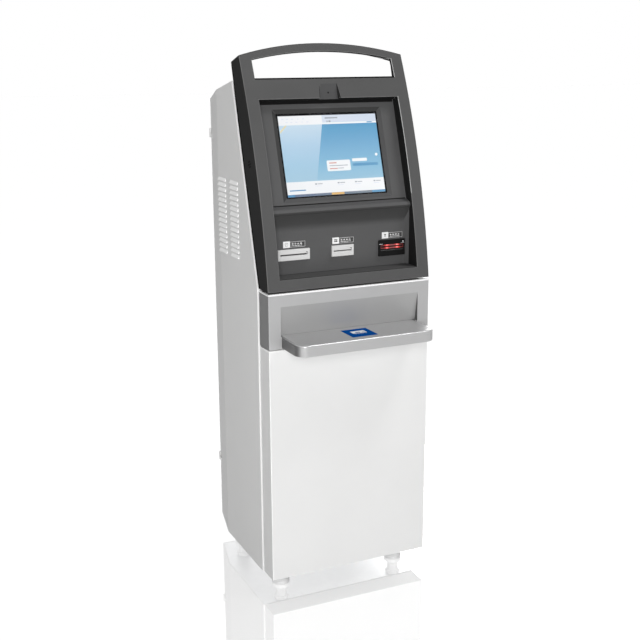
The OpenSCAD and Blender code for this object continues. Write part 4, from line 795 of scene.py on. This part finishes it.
# Pins of the mains inlet and the keyhole of the rear lock
inlet = at("mains_inlet", MID, HIGH, LOW)
small_parts("inlet_pins", "mains_inlet", *[
    ("chrome", block((x - 1.0, -21.6, z - 2.0), (x + 1.0, -6.6, z + 2.0), inlet))
    for x, z in ((0, 23), (-7, 16), (7, 16))])
plug = at("rear_lock_plug", HIGH, HIGH, HIGH)
small_parts("lock_keyhole", "rear_lock_plug",
            ("dark_ink", block((-6.6, -0.5, -9.45), (-5.4, 0.2, -2.45), plug)))

# Board behind the screen
PANEL_FOOT = (0.0, -0.1272, 1.127)
PANEL_LEAN = math.radians(-17.7)
panel_plane = Matrix.Translation(PANEL_FOOT) @ Matrix.Rotation(PANEL_LEAN, 4, "X")
BOARD_Y = 20.2
CHIP_Y = BOARD_Y + 1.4
small_parts(
    "screen_board", "lcd_panel",
    ("circuit_board", block((-62, BOARD_Y, 90), (62, BOARD_Y + 1.6, 170), panel_plane)),
    ("black_plastic", block((-20, CHIP_Y, 120), (8, BOARD_Y + 3.4, 148), panel_plane)),
    ("black_plastic", block((26, CHIP_Y, 112), (44, BOARD_Y + 3.2, 124), panel_plane)),
    ("pale_plastic", block((-54, CHIP_Y, 94), (-24, BOARD_Y + 7.0, 101), panel_plane)),
    ("aluminium", block((20, CHIP_Y, 90), (36, BOARD_Y + 12.0, 104), panel_plane)),
)

# Discs of black cloth over the sound holes in the head's sides: one in the middle, six round it
HEAD_LEAN = math.radians(-16.45)
head_front = at("band", MID, LOW, HIGH).translation.y
head_foot = at("head_bezel", MID, LOW, LOW).translation.z
head_plane = Matrix.Translation((0.0, head_front, head_foot)) @ Matrix.Rotation(HEAD_LEAN, 4, "X")
SPEAKER_X = 249.2
SPEAKER_Y = 19.3
SPEAKER_Z = 355.0
SPEAKER_RING = 8.2
CLOTH_RADIUS = 2.6
CLOTH_THICK = 1.8
sound_holes = [(SPEAKER_Y, SPEAKER_Z)]
for i in range(6):
    angle = math.radians(60 * i)
    sound_holes.append((SPEAKER_Y + SPEAKER_RING * math.cos(angle),
                        SPEAKER_Z + SPEAKER_RING * math.sin(angle)))
small_parts("speaker_cloth", "speakers", *[
    ("matt_black", rod("X", (x, y, z), CLOTH_RADIUS, CLOTH_THICK, sides=16, plane=head_plane))
    for x in (-SPEAKER_X, SPEAKER_X) for y, z in sound_holes])

# Dark window over the camera's pinhole
PINHOLE = (0.0, -0.00697, 0.5407)
SCOOP_TILT = math.radians(11.0)
pinhole_plane = head_plane @ Matrix.Translation(PINHOLE) @ Matrix.Rotation(SCOOP_TILT, 4, "X")
small_parts("camera_window", "camera_lens",
            ("black_plastic", rod("Y", (0, 0, 0), radius=2.4, length=0.3, sides=20, plane=pinhole_plane)))

# A matt black strip on the lower lip of the opening in the head, where its inner face shows dark
LIP_HALF = 214.3
LIP_FRONT = -9.6
LIP_BACK = -0.2
LIP_LOW = 580.9
LIP_HIGH = 583.6
lip = block((-LIP_HALF, LIP_FRONT, LIP_LOW), (LIP_HALF, LIP_BACK, LIP_HIGH), head_plane)
small_parts("lip_black_strip", "head_bezel", ("matt_black", lip), slot="roller_rubber")

# Black rubber edging on the head's rear rim, also standing in for the shadow in the gap behind the head
EDGING_X = 249.65
EDGING_HALF = 0.65
EDGING_FRONT = 57.8
EDGING_BACK = 63.9
EDGING_LOW = 19.5
EDGING_HIGH = 640.0
small_parts("rim_shadow_edging", "head_bezel", *[
    ("matt_black", block((x - EDGING_HALF, EDGING_FRONT, EDGING_LOW),
                         (x + EDGING_HALF, EDGING_BACK, EDGING_HIGH), head_plane))
    for x in (-EDGING_X, EDGING_X)], slot="roller_rubber")

# Rubber seals between the head's rear rim and the cabinet's flanges, black as painted shadow in that gap
SEAL_INNER = 246.0
SEAL_OUTER = 249.9
SEAL_FRONT = 64.3
SEAL_BACK = 66.65
SEAL_LOW = 20.0
SEAL_HIGH = 580.0
for side, left, right in (("left", -SEAL_OUTER, -SEAL_INNER), ("right", SEAL_INNER, SEAL_OUTER)):
    seal = block((left, SEAL_FRONT, SEAL_LOW), (right, SEAL_BACK, SEAL_HIGH), head_plane)
    small_parts(side + "_shadow_seal", side + "_side_panel", ("matt_black", seal), slot="roller_rubber")

# Platen of the receipt printer: a rubber sleeve on a steel axle
PLATEN_SLACK = 0.15
SLEEVE_LENGTH = 84.0
AXLE_RADIUS = 3.0
low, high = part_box("platen_roller")
sleeve_middle = [(a + b) / 2 / MM for a, b in zip(low, high)]
sleeve_radius = (high[1] - low[1]) / 2 / MM - PLATEN_SLACK
axle_length = (high[0] - low[0]) / MM - PLATEN_SLACK
platen = small_parts(
    "platen_sleeve", "platen_roller",
    ("roller_rubber", rod("X", sleeve_middle, sleeve_radius, SLEEVE_LENGTH, sides=48)),
    ("steel", rod("X", sleeve_middle, AXLE_RADIUS - PLATEN_SLACK, axle_length, sides=32)),
)
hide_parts("platen_roller")

# Lock nuts on the studs of the feet
NUT_Z = 48.0
NUT_RADIUS = 22.0
NUT_HEIGHT = 10.0
for node in ("foot_front_left", "foot_front_right", "foot_rear_left", "foot_rear_right"):
    low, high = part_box(node)
    middle = ((low[0] + high[0]) / 2 / MM, (low[1] + high[1]) / 2 / MM, NUT_Z)
    nut = rod("Z", middle, NUT_RADIUS, NUT_HEIGHT, sides=6)
    small_parts(node + "_nut", node, ("foot_plastic", nut))

# Black strips painted as shadow: under the ceiling of the recess, and in the crease below the screen
SHADOW_STRIP_WIDE = 0.42
SHADOW_STRIP_EASE = 0.25
shadow_strips = bmesh.new()
for low_v, high_v, proud in ((0.283, 0.2905, 0.0012), (-0.0014, 0.0026, 0.0007)):
    shadow_strip_verts = bmesh.ops.create_cube(shadow_strips, size=1.0)["verts"]
    bmesh.ops.scale(shadow_strips, vec=(SHADOW_STRIP_WIDE, 2.0 * proud, high_v - low_v), verts=shadow_strip_verts)
    bmesh.ops.translate(shadow_strips, vec=(0.0, 0.0, (low_v + high_v) / 2), verts=shadow_strip_verts)
    bmesh.ops.transform(shadow_strips, matrix=panel_plane, verts=shadow_strip_verts)
round_edges(shadow_strips, shadow_strips.edges[:], SHADOW_STRIP_EASE, EASE_STEPS)
add_piece("painted_shadow_strips", shadow_strips, ["black_plastic"], "head")


# Flat shapes for printed marks and lit tiles, drawn in a plane by two axes
CORNER_STEPS = 6
DISC_STEPS = 24


def patch(form, plane, corners, depth, index):
    points = [form.verts.new(plane @ Vector((u, -depth, v))) for u, v in corners]
    face = form.faces.new(points)
    face.material_index = index
    return face


def quad(form, plane, u0, v0, u1, v1, depth, index):
    return patch(form, plane, [(u0, v0), (u1, v0), (u1, v1), (u0, v1)], depth, index)


def rounded(form, plane, u0, v0, u1, v1, radius, depth, index):
    square = quad(form, HOME, u0, v0, u1, v1, depth, index)
    made = bmesh.ops.bevel(form, geom=square.verts[:], offset=radius, offset_type="OFFSET",
                           affect="VERTICES", segments=CORNER_STEPS, profile=0.5, material=-1,
                           clamp_overlap=False)["verts"]
    bmesh.ops.transform(form, matrix=plane, verts=made)


def disc(form, plane, u, v, radius, depth, index):
    place = plane @ Matrix.Translation((u, -depth, v)) @ TURN_TO["Y"]
    made = bmesh.ops.create_circle(form, cap_ends=True, segments=DISC_STEPS, radius=radius, matrix=place)
    made["verts"][0].link_faces[0].material_index = index


# Picture on the screen, between the panel and the glass: places are shares of its width and height
PICTURE_Y = 0.0083
STEP_FORWARD = 0.00002
PICTURE_W = 0.303
PICTURE_H = 0.227
PICTURE_X = 0.0013
PICTURE_Z = 0.1385
screen_plane = (panel_plane
                @ Matrix.Translation((PICTURE_X - PICTURE_W / 2, PICTURE_Y, PICTURE_Z + PICTURE_H / 2)))
PICTURE = ["picture_white", "picture_bar", "picture_pale_sky", "picture_sky", "picture_grey",
           "picture_red", "picture_blue", "picture_task", "picture_orange", "picture_cream"]
picture = bmesh.new()


def tile(left, top, right, bottom, layer, finish_name):
    quad(picture, screen_plane, left * PICTURE_W, -bottom * PICTURE_H, right * PICTURE_W,
         -top * PICTURE_H, layer * STEP_FORWARD, PICTURE.index(finish_name))


def slanted(corners, layer, finish_name):
    patch(picture, screen_plane, [(u * PICTURE_W, -v * PICTURE_H) for u, v in corners],
          layer * STEP_FORWARD, PICTURE.index(finish_name))


def bubble(left, top, right, bottom, radius, finish_name):
    rounded(picture, screen_plane, left * PICTURE_W, -bottom * PICTURE_H, right * PICTURE_W,
            -top * PICTURE_H, radius, STEP_FORWARD, PICTURE.index(finish_name))


tile(0.0, 0.0, 1.0, 0.115, 0, "picture_white")
tile(0.44, 0.0, 1.0, 0.095, 1, "picture_bar")
slanted([(0.0, 0.815), (0.31, 0.815), (0.435, 0.115), (0.0, 0.115)], 0, "picture_pale_sky")
slanted([(0.31, 0.815), (1.0, 0.815), (1.0, 0.115), (0.435, 0.115)], 0, "picture_sky")
tile(0.0, 0.815, 1.0, 0.97, 0, "picture_white")
tile(0.0, 0.97, 1.0, 1.0, 0, "picture_task")
tile(0.44, 0.972, 0.57, 0.998, 1, "picture_orange")
slanted([(0.006, 0.215), (0.006, 0.185), (0.06, 0.118), (0.08, 0.118)], 1, "picture_cream")
for left, right in ((0.03, 0.055), (0.08, 0.1), (0.13, 0.15), (0.19, 0.205), (0.24, 0.26)):
    tile(left, 0.035, right, 0.045, 1, "picture_bar")
    tile(left + 0.04, 0.075, right + 0.04, 0.083, 1, "picture_bar")
tile(0.47, 0.03, 0.6, 0.045, 2, "picture_grey")
tile(0.485, 0.07, 0.495, 0.09, 2, "picture_grey")
tile(0.505, 0.07, 0.525, 0.09, 2, "picture_grey")
tile(0.9, 0.097, 0.955, 0.11, 2, "picture_blue")
bubble(0.43, 0.57, 0.672, 0.705, 0.0035, "picture_white")
tile(0.455, 0.596, 0.53, 0.61, 2, "picture_red")
tile(0.455, 0.634, 0.645, 0.642, 2, "picture_grey")
tile(0.455, 0.668, 0.535, 0.68, 2, "picture_red")
tile(0.54, 0.668, 0.6, 0.676, 2, "picture_grey")
bubble(0.695, 0.558, 0.85, 0.596, 0.0025, "picture_white")
bubble(0.695, 0.62, 0.96, 0.655, 0.0025, "picture_blue")
disc(picture, screen_plane, 0.955 * PICTURE_W, -0.52 * PICTURE_H, 0.0042, STEP_FORWARD,
     PICTURE.index("picture_white"))
for left in (0.285, 0.515, 0.695, 0.89):
    tile(left, 0.846, left + 0.018, 0.861, 1, "picture_grey")
    tile(left + 0.024, 0.85, left + 0.075, 0.858, 1, "picture_grey")
    tile(left, 0.878, left + 0.06, 0.882, 1, "picture_bar")
tile(0.025, 0.915, 0.185, 0.928, 1, "picture_blue")
tile(0.0, 0.972, 0.07, 0.998, 1, "picture_blue")
tile(0.86, 0.972, 1.0, 0.998, 1, "picture_blue")
add_piece("screen_picture", picture, PICTURE, "head")

# Printed faces of the three slot labels: a pictogram and a few plain marks on each
INK = 0.00006
INKS = ["dark_ink", "white_ink", "grey_ink"]
DARK_INK, WHITE_INK, GREY_INK = range(3)
LABEL_LEFT = 0.030
ICON_W = 0.02
TEXT_LEFT = ICON_W + 0.0002
TEXT_W = 0.046
TEXT_H = 0.015
BORDER = 0.0007
LARGE_PITCH = 0.0085
SMALL_PITCH = 0.0046
LARGE_MARK = ((0.0, 0.0088, 0.006, 0.0098), (0.0004, 0.0105, 0.0056, 0.0114),
              (0.0024, 0.0079, 0.0036, 0.0126))
LABELS = {"receipt_plate": 0.0, "card_plate": 0.0, "note_bezel": 0.0035}
label_corner = at("slot_labels", LOW, LOW, LOW).translation
label_ink = bmesh.new()
for plate, lift in LABELS.items():
    left = at(plate, MID, LOW, LOW).translation.x - LABEL_LEFT
    plane = Matrix.Translation((left, label_corner.y, label_corner.z + lift))
    quad(label_ink, plane, TEXT_LEFT + BORDER, 0.0017, ICON_W + TEXT_W - BORDER, TEXT_H + 0.0003, INK,
         DARK_INK)
    for i in range(4):
        start = TEXT_LEFT + 0.005 + i * LARGE_PITCH
        for u0, v0, u1, v1 in LARGE_MARK:
            quad(label_ink, plane, start + u0, v0, start + u1, v1, 2 * INK, WHITE_INK)
    for i in range(7):
        start = TEXT_LEFT + 0.0055 + i * SMALL_PITCH
        quad(label_ink, plane, start, 0.0043, start + 0.0034, 0.0058, 2 * INK, WHITE_INK)
    if plate == "receipt_plate":
        rounded(label_ink, plane, 0.0055, 0.0045, 0.0145, 0.0135, 0.003, INK, GREY_INK)
        rounded(label_ink, plane, 0.0065, 0.0055, 0.0135, 0.0125, 0.0024, 2 * INK, WHITE_INK)
        quad(label_ink, plane, 0.0082, 0.0098, 0.0118, 0.0105, 3 * INK, GREY_INK)
        quad(label_ink, plane, 0.0082, 0.0077, 0.0118, 0.0084, 3 * INK, GREY_INK)
    elif plate == "card_plate":
        rounded(label_ink, plane, 0.0048, 0.0052, 0.0152, 0.0128, 0.0012, INK, DARK_INK)
        quad(label_ink, plane, 0.0048, 0.0095, 0.0152, 0.0108, 2 * INK, WHITE_INK)
        quad(label_ink, plane, 0.0062, 0.0067, 0.0098, 0.0077, 2 * INK, WHITE_INK)
    else:
        patch(label_ink, plane, [(0.0065, 0.0125), (0.0135, 0.0125), (0.01, 0.0065)], INK, DARK_INK)
        quad(label_ink, plane, 0.0065, 0.0048, 0.0135, 0.0056, INK, DARK_INK)
add_piece("label_print", label_ink, INKS, "head")

# Small arrows at the right ends of the slits, and fine lines on the banknote bezel
arrows = bmesh.new()
for plate, tip in (("receipt_plate", 0.0405), ("card_plate", 0.0272)):
    plate_face = at(plate, MID, LOW, MID)
    patch(arrows, plate_face, [(tip - 0.0062, 0.0066), (tip, 0.0026), (tip, 0.0066)], INK, DARK_INK)
note_face = at("note_bezel", MID, LOW, MID)
for left, right in ((-0.042, -0.031), (0.03, 0.04)):
    quad(arrows, note_face, left, 0.0118, right, 0.0127, INK, WHITE_INK)
patch(arrows, note_face, [(0.033, 0.015), (0.038, 0.015), (0.0355, 0.0185)], INK, WHITE_INK)
quad(arrows, note_face, -0.036, -0.0065, 0.036, -0.0059, INK, GREY_INK)
add_piece("slot_print", arrows, INKS, "head")

# Print on the blue pad: a card and three waves on a white field, and a row of plain marks in front
PAD_STRETCH = (1.3, 1.0, 1.1, 1.0)
PAD_INKS = ["white_ink", "blue_film"]
PAD_WHITE, PAD_BLUE = range(2)
WAVE_V = 0.0015
WAVE_THICK = 0.0012
pad_ink = bmesh.new()
pad_turn = Matrix.Rotation(-QUARTER, 4, "X") @ Matrix.Diagonal(PAD_STRETCH)
pad_face = at("shelf_pad", MID, MID, HIGH) @ pad_turn
rounded(pad_ink, pad_face, -0.0165, -0.006, 0.0165, 0.0155, 0.0022, INK, PAD_WHITE)
rounded(pad_ink, pad_face, -0.0085, -0.0025, 0.0025, 0.0052, 0.0012, 2 * INK, PAD_BLUE)
quad(pad_ink, pad_face, -0.0068, 0.0005, 0.0006, 0.002, 3 * INK, PAD_WHITE)
for i in range(3):
    near = 0.0065 + i * 0.0028
    mid = near + WAVE_THICK
    far = mid + WAVE_THICK
    low_v = WAVE_V - 0.003 - i * 0.0017
    high_v = WAVE_V + 0.003 + i * 0.0017
    patch(pad_ink, pad_face, [(near, low_v), (mid, low_v), (far, WAVE_V), (mid, high_v), (near, high_v),
                              (mid, WAVE_V)], 2 * INK, PAD_BLUE)
for i in range(5):
    left = -0.0145 + i * 0.006
    quad(pad_ink, pad_face, left, -0.0115, left + 0.004, -0.0098, INK, PAD_WHITE)
add_piece("pad_print", pad_ink, PAD_INKS, "cabinet")
